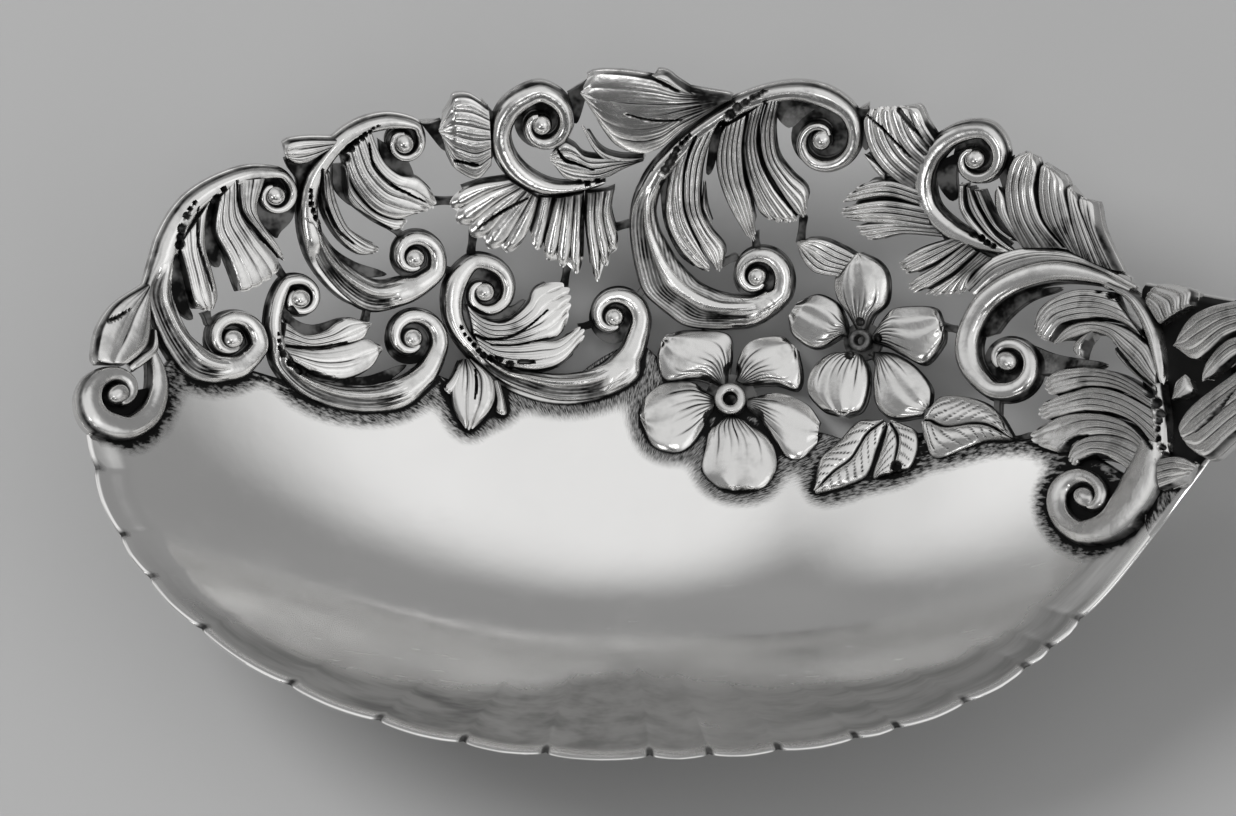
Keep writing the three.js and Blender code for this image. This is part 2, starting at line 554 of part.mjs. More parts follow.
// Plan radius of the bowl's rim at an angle: a squared round, drawn out to the neck at the heel.
function rimRadius(angle) {
  const [c, s] = [Math.cos(angle), Math.sin(angle)];
  const reach = c < 0 ? BOWL_TIP_REACH : BOWL_HEEL_REACH;
  const square = c < 0 ? TIP_SQUARENESS : HEEL_SQUARENESS;
  const round = (Math.abs(c / reach) ** square + Math.abs(s / BOWL_HALF_WIDTH) ** square) ** (-1 / square);
  const neckAngle = Math.atan2(NECK_HALF_WIDTH, NECK_REACH);
  const shoulderAngle = Math.acos(Math.min(1, SHOULDER_START / BOWL_HEEL_REACH));
  const off = Math.abs(Math.atan2(s, c));
  if (off >= shoulderAngle) return round - scallop(off);
  if (off <= neckAngle) return NECK_REACH / c;
  const drawnOut = (shoulderAngle - off) / (shoulderAngle - neckAngle);
  return round + (NECK_REACH / Math.cos(neckAngle) - round) * drawnOut ** SHOULDER_SWEEP;
}

// Depth of the small notches that scallop the rim, counted round each side of it.
function scallop(off) {
  const beat = Math.abs(Math.sin((off * RIM_SCALLOPS) / 2));
  return RIM_SCALLOP_DEPTH * (1 - beat) ** 2;
}

// The bowl sheet: rings out along the back to the rim and in again along the front.
function bowlSheet() {
  const fan = (from, to, count) => Array.from({ length: count }, (_, i) => from + ((to - from) * i) / count);
  const heelTurn = Math.PI / 5;
  const angles = [
    ...fan(-Math.PI, -heelTurn, 4 * Math.round(0.8 * RIM_SCALLOPS)),
    ...fan(-heelTurn, heelTurn, 28),
    ...fan(heelTurn, Math.PI, 12),
  ];
  const shares = [0.15, 0.4, 0.62, 0.83, 1];
  const ring = (share, h) => angles.map((angle) => {
    const r = share * rimRadius(angle);
    return bowlPoint(r * Math.cos(angle), r * Math.sin(angle), h);
  });
  const back = shares.map((share) => ring(share, 0));
  const front = [...shares].reverse().map((share) => ring(share, SHEET_THICKNESS));
  return loft([...back, ...front]);
}

// The openwork window: all of the far wall above a seam that runs along the border's lower pieces.
function openworkWindow() {
  const seam = [
    [-52, 1.7], [-43.6, 1.8], [-40.8, 2], [-38.7, 6.3], [-31.8, 5.6], [-29.5, 4.6], [-23.7, 1.4],
    [-16.5, 5.3], [-15.8, 2.4], [-13.9, 2.4], [-11.8, 4.1], [-5.8, 2.2], [0.7, 7], [5.1, 1.2], [8.7, 1.2],
    [14.4, -0.9], [18.7, -2.2], [23.2, -2.7], [27.2, -1.2], [30.5, -1.1], [35.3, -2.8], [36.8, -7],
    [38.6, -7.1], [43.1, -7.3], [44.8, -3.6], [45.2, -2],
  ];
  const boardTop = 40;
  const across = [0, 0.25, 0.5, 0.75, 1];
  const rings = [];
  for (let i = 0; i + 1 < seam.length; i += 1) {
    const [[u0, v0], [u1, v1]] = [seam[i], seam[i + 1]];
    const count = Math.max(1, Math.round((u1 - u0) / 3));
    for (let k = i === 0 ? 0 : 1; k <= count; k += 1) {
      const u = u0 + ((u1 - u0) * k) / count;
      const v = v0 + ((v1 - v0) * k) / count;
      const up = across.map((share) => v + (boardTop - v) * share);
      const under = up.map((level) => onBowl(u, level, -CUT_PAST));
      const over = up.map((level) => onBowl(u, level, CUT_PAST)).reverse();
      rings.push([...under, ...over]);
    }
  }
  return loft(rings);
}

let bowl = bowlSheet().subtract(openworkWindow());
for (const piece of border) bowl = bowl.subtract(piece.room);

// The handle's middle line, as [x, half width, z] points along the bowl's outer face under the
// neck, up over the crest and down to the terminal, whose back comes to rest beside the bowl.
const HANDLE_END = OVERALL_LENGTH - BOWL_TIP_REACH;
const HANDLE_BACK = HANDLE_THICKNESS - SHEET_THICKNESS;
const HANDLE_FALL = HANDLE_CREST - HANDLE_BACK;
const stemX = (share) => NECK_REACH + (HANDLE_END - NECK_REACH) * share;
const underNeck = (x, halfWidth) => [x, halfWidth, bowlHeight(x, 0)];
const handleLine = smooth([
  underNeck(NECK_REACH - TONGUE_LENGTH, 0.7 * NECK_HALF_WIDTH),
  underNeck(NECK_REACH - TONGUE_LENGTH / 2, 0.8 * NECK_HALF_WIDTH),
  underNeck(NECK_REACH, 0.94 * NECK_HALF_WIDTH),
  underNeck(NECK_REACH + TONGUE_LENGTH / 2, 0.85 * NECK_HALF_WIDTH),
  [stemX(0.07), (NECK_HALF_WIDTH + STEM_HALF_WIDTH) / 2, HANDLE_CREST - 0.03 * HANDLE_FALL],
  [stemX(0.14), STEM_HALF_WIDTH, HANDLE_CREST],
  [stemX(0.27), STEM_HALF_WIDTH, HANDLE_CREST - 0.05 * HANDLE_FALL],
  [stemX(0.46), 1.2 * STEM_HALF_WIDTH, HANDLE_CREST - 0.27 * HANDLE_FALL],
  [stemX(0.64), 0.5 * TERMINAL_HALF_WIDTH, HANDLE_CREST - 0.55 * HANDLE_FALL],
  [stemX(0.8), 0.82 * TERMINAL_HALF_WIDTH, HANDLE_CREST - 0.8 * HANDLE_FALL],
  [stemX(0.92), TERMINAL_HALF_WIDTH, HANDLE_CREST - 0.95 * HANDLE_FALL],
  [stemX(0.97), 0.8 * TERMINAL_HALF_WIDTH, HANDLE_CREST - 0.985 * HANDLE_FALL],
  [HANDLE_END, 0.3 * TERMINAL_HALF_WIDTH, HANDLE_BACK],
]);
const HANDLE_SPANS = handleLine.points.length - 1;

// A point of the handle: share along its line, across it, and h off the line.
function onHandle(share, across, h) {
  const here = handleLine.getPoint(share);
  const along = handleLine.getTangent(share).setY(0).normalize();
  return new THREE.Vector3(here.x - along.z * h, across, here.z + along.x * h);
}

// The stem and terminal: flat back, a raised thread inside each edge and a low crown between, with
// a thin tongue lapped under the neck and stepped up flush with the front of the sheet beyond it.
function handleStem() {
  const threadWidth = 1;
  const threadRelief = 0.4;
  const section = (share, back, front) => {
    const wide = handleLine.getPoint(share).y;
    const inner = Math.max(0.4 * wide, wide - threadWidth);
    const side = [[wide, front], [(wide + inner) / 2, front + threadRelief], [inner, front]];
    const top = [...side, [0, front + threadRelief], ...side.map(([y, h]) => [-y, h]).reverse()];
    return [[-0.9 * wide, back], [0.9 * wide, back], ...top].map(([y, h]) => onHandle(share, y, h));
  };
  const tongueFront = -SOLDER_GAP - threadRelief;
  const tongueBack = tongueFront - TONGUE_THICKNESS;
  const neckEnd = 2 / HANDLE_SPANS;
  const stepStart = neckEnd + (2 * SOLDER_GAP) / TONGUE_LENGTH / HANDLE_SPANS;
  const rings = [
    section(0, tongueFront - 0.3 * TONGUE_THICKNESS, tongueFront),
    section(neckEnd / 2, tongueBack, tongueFront),
    section(neckEnd, tongueBack, tongueFront),
    section(stepStart, tongueBack, tongueFront),
  ];
  const stations = 34;
  for (let i = 0; i <= stations; i += 1) {
    const share = stepStart + 0.001 + (0.999 - stepStart) * (i / stations);
    rings.push(section(share, -HANDLE_BACK, SHEET_THICKNESS - threadRelief));
  }
  return loft(rings);
}

const handle = handleStem();

// Finish of the metal: polished sheet, oxidised chasing and the softer shine of the handle
const silver = (roughness, tint) => new THREE.MeshStandardMaterial({ color: tint, metalness: 1, roughness });
const spoon = new THREE.Group();

function place(name, solid, material) {
  const mesh = new THREE.Mesh(toGeometry(solid), material);
  mesh.name = name;
  spoon.add(mesh);
}

place('bowl', bowl, silver(0.22, 0xd9d9d6));
place('handle', handle, silver(0.3, 0xcfcfcb));
for (const { name, solid } of [...border, ...shoulder]) place(name, solid, silver(0.35, 0xb9b9b5));

export default spoon;
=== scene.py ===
import math

import bpy
import numpy as np
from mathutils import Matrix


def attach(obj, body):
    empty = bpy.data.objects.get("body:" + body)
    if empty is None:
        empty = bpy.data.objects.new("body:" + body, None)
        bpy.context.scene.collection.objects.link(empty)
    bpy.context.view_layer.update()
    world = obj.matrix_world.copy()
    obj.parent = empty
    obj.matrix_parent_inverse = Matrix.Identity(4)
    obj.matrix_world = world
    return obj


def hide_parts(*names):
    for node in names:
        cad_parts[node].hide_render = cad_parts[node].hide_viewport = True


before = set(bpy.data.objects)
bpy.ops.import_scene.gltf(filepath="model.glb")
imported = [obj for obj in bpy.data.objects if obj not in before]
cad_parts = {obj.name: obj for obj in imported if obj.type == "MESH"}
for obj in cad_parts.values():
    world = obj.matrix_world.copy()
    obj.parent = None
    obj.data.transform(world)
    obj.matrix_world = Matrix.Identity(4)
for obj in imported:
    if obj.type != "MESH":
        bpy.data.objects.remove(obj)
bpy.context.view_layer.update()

# Bowl: one sheet of silver a millimetre thick, raised from a flat disc and drawn up at the heel into
# the neck. Its near half is left plain and polished, the rim is filed to shallow scallops, and the
# far half is sawn away along the seam where the chased border is soldered on.
TIP_REACH, HEEL_REACH, HALF_WIDTH = 46.5, 44.0, 32.2
DEPTH, REST_HALF_WIDTH, SHEET = 16.0, 6.4, 1.0
NECK_REACH, NECK_HALF_WIDTH, NECK_RISE, SHOULDER_START = 51.5, 6.2, 4.5, 36.0
BOARD_ANGLE, LAID_AT = math.radians(66), 1.35


def ease(x):
    """Smooth step: three squares less two cubes of x held between nought and one."""
    x = np.clip(x, 0, 1)
    return x * x * (3 - 2 * x)


def squared_round(x):
    """Reach and power of the rim's oval at plan x: both pass smoothly from the tip's to the heel's over
    the middle 48 mm, and the power is a little over two, which squares the heel."""
    heelward = ease((x + 24) / 48)
    return TIP_REACH + (HEEL_REACH - TIP_REACH) * heelward, 2.05 + 0.4 * heelward


def bowl_height(x, y):
    """Height of the outer face over plan x, y: the squared-round plan radius, counted from the rest
    to the rim and eased in at the rest, to the power 1.9 times the depth; past the shoulder the heel
    adds its rise times the share of the way to the neck to the power 1.5."""
    reach, square = squared_round(x)
    plan = (np.abs(x / reach) ** square + np.abs(y / HALF_WIDTH) ** square) ** (1 / square)
    flat = REST_HALF_WIDTH / HALF_WIDTH
    wall = (plan - flat) / (1 - flat)
    wall = (wall + np.sqrt(wall * wall + 0.01)) / 2
    heel = np.maximum(0, (x - SHOULDER_START) / (NECK_REACH - SHOULDER_START))
    return DEPTH * (wall - 0.0025) ** 1.9 + NECK_RISE * heel**1.5


def bowl_normal(x, y):
    """Unit normal of the outer face: minus the slope each way, and one, brought to length one."""
    d = 0.02
    slope_x = (bowl_height(x + d, y) - bowl_height(x - d, y)) / (2 * d)
    slope_y = (bowl_height(x, y + d) - bowl_height(x, y - d)) / (2 * d)
    normal = np.stack([-slope_x, -slope_y, np.ones_like(slope_x)], -1)
    return normal / np.linalg.norm(normal, axis=-1, keepdims=True)


def drape(u, v, rounds=34):
    """Plan position under a point of the leaning drawing board: start straight behind the point and
    step back each round by the board's view of the height that the bowl has there, held to twice
    the bowl's width, because a point far off the bowl would run away."""
    x, y = np.array(u, float), np.array(v, float) / math.sin(BOARD_ANGLE)
    for _ in range(rounds):
        normal = bowl_normal(x, y)
        rise = bowl_height(x, y) - DEPTH + LAID_AT * normal[..., 2]
        x = u - LAID_AT * normal[..., 0]
        y = (v - rise * math.cos(BOARD_ANGLE)) / math.sin(BOARD_ANGLE) - LAID_AT * normal[..., 1]
        y = np.clip(y, -2 * HALF_WIDTH, 2 * HALF_WIDTH)
    return x, y


def off_bowl(x, y, h):
    """Points h off the outer face over plan x, y: the face plus h times its normal."""
    return np.stack([x, y, bowl_height(x, y)], -1) + np.asarray(h)[..., None] * bowl_normal(x, y)


def to_board(x, y):
    """Board position of plan points: what the board sees of them at the laying height."""
    seen = off_bowl(x, y, np.full_like(x, LAID_AT))
    up = seen[..., 1] * math.sin(BOARD_ANGLE) + (seen[..., 2] - DEPTH) * math.cos(BOARD_ANGLE)
    return seen[..., 0], up


def rim_radius(angle):
    """Plan radius of the rim: the squared round, and within the shoulder's angle of the heel a cubic
    share of the way out to the straight end of the neck."""
    c, s = np.cos(angle), np.sin(angle)
    reach, square = squared_round(c * 40)
    plain = (np.abs(c / reach) ** square + np.abs(s / HALF_WIDTH) ** square) ** (-1 / square)
    neck_angle = math.atan2(NECK_HALF_WIDTH, NECK_REACH)
    shoulder_angle = math.acos(SHOULDER_START / HEEL_REACH)
    off = np.abs(np.arctan2(s, c))
    out = np.clip((shoulder_angle - off) / (shoulder_angle - neck_angle), 0, 1)
    drawn = plain + (NECK_REACH / math.cos(neck_angle) - plain) * out**3
    return np.where(off <= neck_angle, NECK_REACH / np.maximum(c, 0.5), drawn)


class Wire:
    """A shader socket that takes part in sums: each operator adds one Math node to its tree."""

    def __init__(self, tree, socket=None):
        self.tree, self.socket = tree, socket

    def add(self, kind, settings, sockets, out=0):
        """A new node of that kind: its settings, then the numbers or wires of its sockets."""
        node = self.tree.nodes.new(kind)
        for key, value in settings.items():
            setattr(node, key, value)
        for key, value in sockets.items():
            if isinstance(value, Wire):
                self.tree.links.new(value.socket, node.inputs[key])
            else:
                node.inputs[key].default_value = value
        return Wire(self.tree, node.outputs[out])

    def sum(self, operation, *values):
        """A Math node of that operation on the values in order."""
        return self.add("ShaderNodeMath", {"operation": operation}, dict(enumerate(values)))

    def __add__(self, other):
        return self.sum("ADD", self, other)

    def __radd__(self, other):
        return self.sum("ADD", other, self)

    def __sub__(self, other):
        return self.sum("SUBTRACT", self, other)

    def __mul__(self, other):
        return self.sum("MULTIPLY", self, other)

    def __rmul__(self, other):
        return self.sum("MULTIPLY", other, self)

    def at_most(self, most):
        """This value, held down to the most that it may be."""
        return self.sum("MINIMUM", self, most)

    def stained(self, name):
        """The number that each vertex of the piece keeps under that name."""
        return self.add("ShaderNodeAttribute", {"attribute_name": name}, {}, out="Fac")

    def ramp(self, low, high):
        """Nought below low, one above high and a smooth step between."""
        settings = {"interpolation_type": "SMOOTHSTEP"}
        return self.add("ShaderNodeMapRange", settings, {0: self, 1: low, 2: high})

    def blend(self, first, second):
        """The first colour where this is nought, the second where it is one."""
        settings = {"data_type": "RGBA", "clamp_factor": True}
        return self.add("ShaderNodeMix", settings, {0: self, 6: first, 7: second}, out=2)

    def cloud(self, scale, detail=2.0, roughness=0.5, where=None):
        """Soft noise between nought and one, its scale in lumps to the metre."""
        where = where or self.add("ShaderNodeTexCoord", {}, {}, out="Object")
        sockets = {"Vector": where, "Scale": scale, "Detail": detail, "Roughness": roughness}
        return self.add("ShaderNodeTexNoise", {}, sockets)


def finish_metal(dark, rough, height, reach, tone=(0.93, 0.925, 0.915)):
    """Finishes the silver that dark belongs to: metal of that tone, black where dark is one (sulphide,
    and in some finishes painted shade and painted dark reflections), with its roughness and a bump of
    the height field, reach metres from bottom to top."""
    tree = dark.tree
    shader = tree.nodes["Principled BSDF"]
    shader.inputs["Metallic"].default_value = 1.0
    # The black that sulphide, painted shade and painted dark reflections all blend to.
    black_of_sulphide_and_shade = (0.012, 0.012, 0.012, 1)
    colour = dark.blend((*tone, 1), black_of_sulphide_and_shade)
    tree.links.new(colour.socket, shader.inputs["Base Color"])
    tree.links.new(rough.socket, shader.inputs["Roughness"])
    bump = dark.add("ShaderNodeBump", {}, {"Height": height, "Distance": reach, "Strength": 1.0})
    tree.links.new(bump.socket, shader.inputs["Normal"])


def new_finish(name):
    """An empty node material and a wire to start its sums from."""
    metal = bpy.data.materials.new(name)
    metal.use_nodes = True
    return metal, Wire(metal.node_tree)


def skin(name, tubes, metal):
    """A mesh of closed tubes. Each tube is a grid of points in millimetres whose columns run round
    it; neighbouring rows are joined by quads and each end row by a fan to its middle. A tube whose
    volume comes out negative has its faces turned over."""
    points, corners, sizes, first = [], [], [], 0
    for grid in tubes:
        rows, cols = grid.shape[:2]
        flat = np.vstack([grid.reshape(-1, 3), grid[0].mean(0), grid[-1].mean(0)])
        number = np.arange(rows * cols).reshape(rows, cols)
        after = np.roll(number, -1, axis=1)
        quads = np.stack([number[:-1], after[:-1], after[1:], number[1:]], -1).reshape(-1, 4)
        start = np.stack([np.full(cols, rows * cols), after[0], number[0]], -1)
        end = np.stack([np.full(cols, rows * cols + 1), number[-1], after[-1]], -1)
        fans = np.vstack([start, end])
        halves = np.vstack([quads[:, [0, 1, 2]], quads[:, [0, 2, 3]], fans])
        a, b, c = (flat[halves[:, k]] - flat.mean(0) for k in range(3))
        if np.einsum("ij,ij->", a, np.cross(b, c)) < 0:
            quads, fans = quads[:, ::-1], fans[:, ::-1]
        points.append(flat)
        corners += [quads.ravel() + first, fans.ravel() + first]
        sizes += [np.full(len(quads), 4), np.full(len(fans), 3)]
        first += len(flat)
    points, corners, sizes = np.vstack(points), np.concatenate(corners), np.concatenate(sizes)
    mesh = bpy.data.meshes.new(name)
    mesh.vertices.add(len(points))
    mesh.vertices.foreach_set("co", (points / 1000).astype(np.float32).ravel())
    mesh.loops.add(len(corners))
    mesh.loops.foreach_set("vertex_index", corners.astype(np.int32))
    mesh.polygons.add(len(sizes))
    mesh.polygons.foreach_set("loop_start", (np.cumsum(sizes) - sizes).astype(np.int32))
    mesh.polygons.foreach_set("use_smooth", np.ones(len(sizes), bool))
    mesh.update(calc_edges=True)
    mesh.validate()
    mesh.set_sharp_from_angle(angle=math.radians(48))
    mesh.materials.append(metal)
    piece = bpy.data.objects.new(name, mesh)
    bpy.context.scene.collection.objects.link(piece)
    return piece


def stain(piece, name, values):
    """Keeps one number for each vertex of the piece, for its material to read."""
    field = piece.data.attributes.new(name, "FLOAT", "POINT")
    field.data.foreach_set("value", np.concatenate(values).astype(np.float32))


def with_ends(grid):
    """A grid's numbers in the order of its tube's vertices: the grid, then the mean of each end."""
    return np.concatenate([grid.ravel(), [grid[0].mean(), grid[-1].mean()]])


# The sheet is a polar grid about a hub on the board: the near rim with its filed nicks, then the seam.
hub_u, hub_v = -1.0, -11.0
rim_angle = np.linspace(-math.pi - 0.02, -0.2, 2400)
rim_x = rim_radius(rim_angle) * np.cos(rim_angle)
rim_y = rim_radius(rim_angle) * np.sin(rim_angle)
rim_u, rim_v = to_board(rim_x, rim_y)
rim_run = np.concatenate([[0], np.cumsum(np.hypot(np.diff(rim_u), np.diff(rim_v)))])
notches = np.array([
    [-45.3, -4.1], [-43.5, -9.9], [-41.8, -14.1], [-36.9, -18.2], [-29.2, -22.9], [-21.6, -25.8],
    [-14.4, -27.6], [-7.3, -28.5], [1.7, -29.2], [6.8, -28.6], [12.7, -28.1], [19.2, -26.8],
    [22.9, -26.6], [28.5, -23.9], [33.7, -21.1], [36.5, -20.1], [39.1, -17.9],
])
notch_at = np.hypot(rim_u - notches[:, :1], rim_v - notches[:, 1:]).argmin(1)
notch_off = np.abs(rim_run - rim_run[notch_at][:, None])
nick = np.exp(-((notch_off / 0.3) ** 2)).max(0)
lobing = 0.36 * np.exp(-notch_off.min(0) / 1.6) + 0.12 * nick
inward = np.hypot(rim_u - hub_u, rim_v - hub_v)
rim_u = hub_u + (rim_u - hub_u) * (1 - lobing / inward)
rim_v = hub_v + (rim_v - hub_v) * (1 - lobing / inward)
seam = np.array([
    [44.6, -7.6], [42.5, -5.6], [39.5, -3.6], [35.3, -2.6], [30.5, -1.4], [27.2, -1.3],
    [23.2, -2.7], [18.7, -2.2], [14.4, -0.9], [8.7, 1.2], [5.1, 1.2], [0.7, 6.4], [-5.8, 2.2],
    [-11.8, 4.1], [-13.9, 2.4], [-17.4, 3.8], [-23.7, 1.4], [-29.5, 3.0], [-33, 4.1], [-38.5, 5.4],
    [-40.8, 2.4], [-43.6, 1.8],
])
rim_turn = np.arctan2(rim_v - hub_v, rim_u - hub_u)
clear = (rim_turn < math.atan2(seam[0, 1] - hub_v, seam[0, 0] - hub_u)) | (rim_turn > 1)
edge_u = np.concatenate([rim_u[clear], seam[:, 0]])
edge_v = np.concatenate([rim_v[clear], seam[:, 1]])
edge_nick = np.concatenate([nick[clear], np.zeros(len(seam))])
edge_filed = np.concatenate([np.ones(clear.sum()), np.zeros(len(seam))])
edge_turn = np.arctan2(edge_v - hub_v, edge_u - hub_u)
by_turn = np.argsort(edge_turn)


def edge_reach(turn):
    """Distance from the hub to the edge of the plain sheet, read round the edge by angle."""
    reach = np.hypot(edge_u - hub_u, edge_v - hub_v)
    return np.interp(turn, edge_turn[by_turn], reach[by_turn], period=2 * math.pi)


FIRST_TURN = -3.3
near_turns = np.linspace(FIRST_TURN, 0, 620)
far_turns = np.linspace(0, 2 * math.pi + FIRST_TURN, 182)[1:-1]
turns = np.concatenate([near_turns, far_turns])
nicked = np.interp(turns, edge_turn[by_turn], edge_nick[by_turn], period=2 * math.pi)
filed = np.interp(turns, edge_turn[by_turn], edge_filed[by_turn], period=2 * math.pi)
ROUND_OVER = 0.3
lip = np.linspace(0, math.pi, 9)[1:-1]
reach_in = edge_reach(turns) - ROUND_OVER
even = np.linspace(-math.pi, math.pi, 720, endpoint=False)
aside = range(-24, 25)
least = np.min([np.roll(edge_reach(even) - ROUND_OVER, k) for k in aside], 0)
calm = 0.9 * np.mean([np.roll(least, k) for k in aside], 0)
calm = np.interp(turns, even, calm, period=2 * math.pi)
inner_share, outer_share = np.linspace(0.012, 1, 46)[:, None], np.linspace(0, 1, 29)[1:, None]
front_r = np.vstack([inner_share * calm, calm + (reach_in - calm) * outer_share])
back_r = front_r[::-2]
sheet_r = np.vstack([front_r, reach_in + ROUND_OVER * np.sin(lip)[:, None], back_r])
lip_h = SHEET / 2 * (1 + np.cos(lip))
sheet_h = np.concatenate([np.full(len(front_r), SHEET), lip_h, np.zeros(len(back_r))])[:, None]
RIM_THINNED = 0.52
sheet_h = sheet_h * (1 - RIM_THINNED * filed * ease((sheet_r - reach_in + 2.4) / 2.6))
sheet_u = hub_u + sheet_r * np.cos(turns)
sheet_v = hub_v + sheet_r * np.sin(turns)
sheet_ink = 0.95 * ease((sheet_r - reach_in + 0.2) / 0.3) * ease(nicked / 0.6)

# Wear of the near wall: brushed from 14 mm inside the rim. Along the rim lies a painted dark
# reflection of the border, a band that is broadest in the middle, lighter in one place and a
# little darker in another.
entry = np.where(turns < 1, ease((turns + 3.25) / 0.4), 0)
brushed = filed * entry * ease((sheet_r - reach_in + 14) / 6)
breadth = np.interp(turns, [-3.1, -2.5, -1.6, -0.6, -0.2], [2.6, 5, 7.2, 6.8, 4])
rim_reflection_band = filed * ease((sheet_r - reach_in + breadth) / 2.2) * ease((reach_in - sheet_r) / 0.35)
band_lightening = 0.38 * np.exp(-(((turns + 1.05) / 0.32) ** 2)) - 0.15 * np.exp(-(((turns + 2.5) / 0.3) ** 2))
rim_reflection_band = rim_reflection_band * entry * (1 - band_lightening)

# The neck is a strap across the heel between the two shoulders, with rounded sides and a stepped end.
NECK_FRONT, NECK_BACK, NECK_START = 60, 20, 43.2
neck_u = np.linspace(NECK_START, 50.35, 60)
near_angle = np.linspace(-0.85, -math.atan2(NECK_HALF_WIDTH, NECK_REACH), 400)
near_x, near_y = (rim_radius(near_angle) * way(near_angle) for way in (np.cos, np.sin))
shoulder_u, shoulder_v = to_board(near_x, near_y)
far_u, far_v = to_board(near_x, -near_y)
neck_low = np.interp(neck_u, shoulder_u, shoulder_v)[:, None]
neck_high = np.interp(neck_u, far_u, far_v)[:, None]
front_across, back_across = np.linspace(0, 1, NECK_FRONT), np.linspace(1, 0, NECK_BACK)
across = np.concatenate([front_across, [1, 1, 1], back_across, [0, 0, 0]])
side_bulge, side_rise = np.array([0.15, 0.25, 0.15]), np.array([0.8, 0.5, 0.2])
bulge = np.concatenate([np.zeros(NECK_FRONT), side_bulge, np.zeros(NECK_BACK), -side_bulge])
neck_step = SHEET - 0.03 * ease((45.6 - neck_u) / 0.6)[:, None]
neck_rise = np.concatenate([np.ones(NECK_FRONT), side_rise, np.zeros(NECK_BACK), side_rise[::-1]])
neck_high = np.minimum(neck_high, 11.3 - 0.2 * (neck_u - NECK_START)[:, None])
neck_v = neck_low + 0.25 + (neck_high - neck_low - 0.5) * across + bulge
neck_uu = np.repeat(neck_u[:, None], len(across), 1)
neck_edge = np.minimum(neck_v - neck_low, neck_high - neck_v)
neck_ground = ease((neck_v + 4.9) / 0.5) * ease(neck_edge / 0.35)
neck_h = neck_step * neck_rise * (1 - 0.4 * ease((0.8 - neck_edge) / 0.6))

# Its finish: polished, with fine scratches three ways, hatched matting beside the border that is
# darkened further with painted shade, and a painted dark reflection of the border drawn out along
# the rim in streaks.
polish, wire = new_finish("polished_silver")
oxide, matting_and_shade = wire.stained("oxide"), wire.stained("matting_and_shade")
round_out = wire.add("ShaderNodeUVMap", {"uv_map": "strokes"}, {})
matting = wire.add("ShaderNodeMapping", {}, {"Vector": round_out, "Scale": (5200.0, 1600.0, 1.0)})
strokes = wire.cloud(1.0, 2.0, 0.6, matting)
# The hatched matting beside the border is darkened further here as painted shade, where the border rises
# over the sheet.
hatch_and_shade = (matting_and_shade * (0.8 + 0.4 * strokes)).ramp(0.26, 0.74) * (0.62 + 0.5 * strokes.ramp(0.3, 0.7))
wear = wire.cloud(260.0, 4.0, 0.65)
scratch = 0 * wear
for turn, seed in ((0.35, 0.0), (1.3, 0.31), (2.4, 0.77)):
    where = wire.add("ShaderNodeTexCoord", {}, {}, out="Object")
    spun = wire.add("ShaderNodeMapping", {}, {
        "Vector": where, "Location": (seed, seed, 0),
        "Rotation": (0, 0, turn), "Scale": (240, 9000, 240),
    })
    scratch = scratch + wire.cloud(1.0, 1.0, 0.4, spun).ramp(0.74, 0.84)
round_rim = wire.add("ShaderNodeSeparateXYZ", {}, {"Vector": round_out}, out="X")
along_rim = {"X": 120 * round_rim, "Y": 8 * wire.stained("inset")}
streaks = wire.cloud(1.0, 3.0, 0.6, wire.add("ShaderNodeCombineXYZ", {}, along_rim))
# A painted dark reflection of the border, laid in streaks along the near rim.
painted_rim_reflection = wire.stained("rim_reflection_band") * (0.58 + 0.42 * streaks.ramp(0.36, 0.72))
black = oxide * (0.86 + 0.14 * wear.ramp(0.4, 0.6)) + 0.92 * hatch_and_shade + 0.62 * painted_rim_reflection
dark = black.at_most(1.0)
polished = 0.08 + 0.08 * wear.ramp(0.42, 0.75) + 0.12 * scratch
rough = polished + 0.4 * dark + 0.1 * wire.stained("brushed")
planish = 0.86 * wire.cloud(55.0, 1.0) + 0.1 * wire.cloud(420.0, 2.0) - 0.012 * scratch
finish_metal(dark, rough, planish, 0.00009)

sheet_x, sheet_y = drape(sheet_u, sheet_v)
neck_x, neck_y = drape(neck_uu, neck_v)
sheet_grid, neck_grid = off_bowl(sheet_x, sheet_y, sheet_h), off_bowl(neck_x, neck_y, neck_h)
bowl = skin("bowl_sheet", [sheet_grid, neck_grid], polish)
stroke_map = bowl.data.uv_layers.new(name="strokes")
MEAN_RADIUS = 0.03
turn_run = np.concatenate([
    with_ends(np.repeat(turns[None, :] * MEAN_RADIUS, len(sheet_r), 0)), with_ends(neck_uu / 1000),
])
out_run = np.concatenate([with_ends(sheet_r / 1000), with_ends(neck_v / 1000)])
at_corner = np.empty(len(bowl.data.loops), np.int32)
bowl.data.loops.foreach_get("vertex_index", at_corner)
runs = np.stack([turn_run, out_run], -1)[at_corner]
stroke_map.data.foreach_set("uv", runs.astype(np.float32).ravel())
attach(bowl, "root")
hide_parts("bowl")

# Handle: forged from bar, lapped under the neck by a thin tongue and soldered there, arched over a
# crest and widening to its terminal. A thread is raised inside each edge with a low crown between.
HANDLE_END, CREST, HANDLE_BACK = 183.5, 34.95, 1.6
STEM_HALF, TERMINAL_HALF = 3.5, 12.2


def course(points, count):
    """Spline through the points, even in each span: the usual four cubic weights on the two points
    before and the two after, with the ends mirrored."""
    points = np.asarray(points, float)
    padded = np.vstack([2 * points[0] - points[1], points, 2 * points[-1] - points[-2]])
    along = np.linspace(0, len(points) - 1, count)
    span = np.minimum(along.astype(int), len(points) - 2)
    t = (along - span)[:, None]
    a, b, c, d = (padded[span + k] for k in range(4))
    return b + t / 2 * (c - a + t * (2 * a - 5 * b + 4 * c - d + t * (3 * (b - c) + d - a)))


